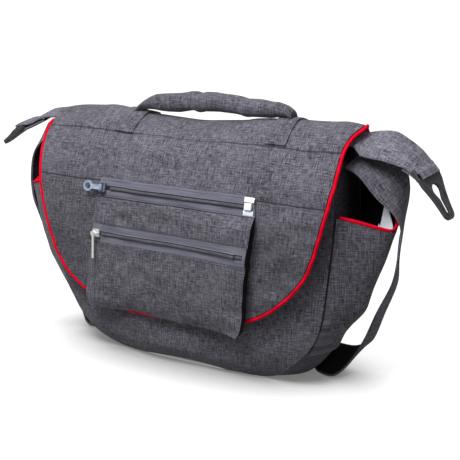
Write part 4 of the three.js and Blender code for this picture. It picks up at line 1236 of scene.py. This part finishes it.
lightLook = {
    "sky": 0.34, "sun": 1.25, "sunSpread": 60, "sunFrom": (-0.3, -0.5, 1.4),
    "panelSpot": (-0.02, -0.62, 1.0), "panelTarget": (0, 0, 0.15),
    "panelSize": (0.5, 0.4), "panelPower": 11,
    # how the floor's glow falls from open floor to a touching edge
    "floorGlow": 0.88, "shadeReach": 0.1, "shade": (0.38, 0.9, 0.18, 1),
}
cameraLook = {"azimuth": 30, "elevation": 15, "distance": 1.344, "target": (0.035, 0, 0.162), "lens": 85.7}


def faceAlong(holder, way):
    holder.rotation_euler = Vector(way).to_track_quat("-Z", "Y").to_euler()


deselect()
bpy.ops.mesh.primitive_plane_add(size=40, location=(0, 0, -0.0002))
floor = bpy.context.object
floor.name = "floor"
floorMaterial, floorTree, floorShader = newMaterial("paleFloor", 0.85)
place = node(floorTree, "ShaderNodeTexCoord").outputs["Object"]
tone = mixColor(floorTree, noiseOf(floorTree, place, 3.0), (0.29, 0.29, 0.29, 1), (0.31, 0.31, 0.31, 1))
floorTree.links.new(tone, floorShader.inputs["Base Color"])
floorShader.inputs["Specular IOR Level"].default_value = 0.1
floorShader.inputs["Emission Color"].default_value = (1, 1, 1, 1)
seen = node(floorTree, "ShaderNodeLightPath").outputs["Is Camera Ray"]
near = node(floorTree, "ShaderNodeAmbientOcclusion", {"Distance": lightLook["shadeReach"]}).outputs["AO"]
clear = mapRange(floorTree, near, *lightLook["shade"])
glow = times(floorTree, clear, lightLook["floorGlow"])
floorTree.links.new(times(floorTree, seen, glow), floorShader.inputs["Emission Strength"])
floor.data.materials.append(floorMaterial)

world = bpy.data.worlds.new("studio")
world.use_nodes = True
sky = world.node_tree
seen = node(sky, "ShaderNodeLightPath").outputs["Is Camera Ray"]
strength = mapRange(sky, seen, 0, 1, lightLook["sky"], 1.0)
sky.links.new(strength, sky.nodes["Background"].inputs["Strength"])
sky.nodes["Background"].inputs["Color"].default_value = (1, 1, 1, 1)
scene.world = world
scene.view_settings.view_transform = "Standard"

sun = bpy.data.lights.new("softSun", "SUN")
sun.energy = lightLook["sun"]
sun.angle = math.radians(lightLook["sunSpread"])
faceAlong(newObject("softSun", sun), -Vector(lightLook["sunFrom"]))

panel = bpy.data.lights.new("overheadPanel", "AREA")
panel.shape = "RECTANGLE"
panel.size, panel.size_y = lightLook["panelSize"]
panel.energy = lightLook["panelPower"]
holder = newObject("overheadPanel", panel)
holder.location = lightLook["panelSpot"]
faceAlong(holder, Vector(lightLook["panelTarget"]) - Vector(lightLook["panelSpot"]))

camera = bpy.data.cameras.new("camera")
camera.lens = cameraLook["lens"]
camera.sensor_width = 36
camera.clip_start = 0.01
holder = newObject("camera", camera)
azimuth, elevation = (math.radians(cameraLook[key]) for key in ("azimuth", "elevation"))
level = math.cos(elevation)
away = Vector((math.sin(azimuth) * level, -math.cos(azimuth) * level, math.sin(elevation)))
holder.location = Vector(cameraLook["target"]) + cameraLook["distance"] * away
faceAlong(holder, -away)
scene.camera = holder
print("stage made")
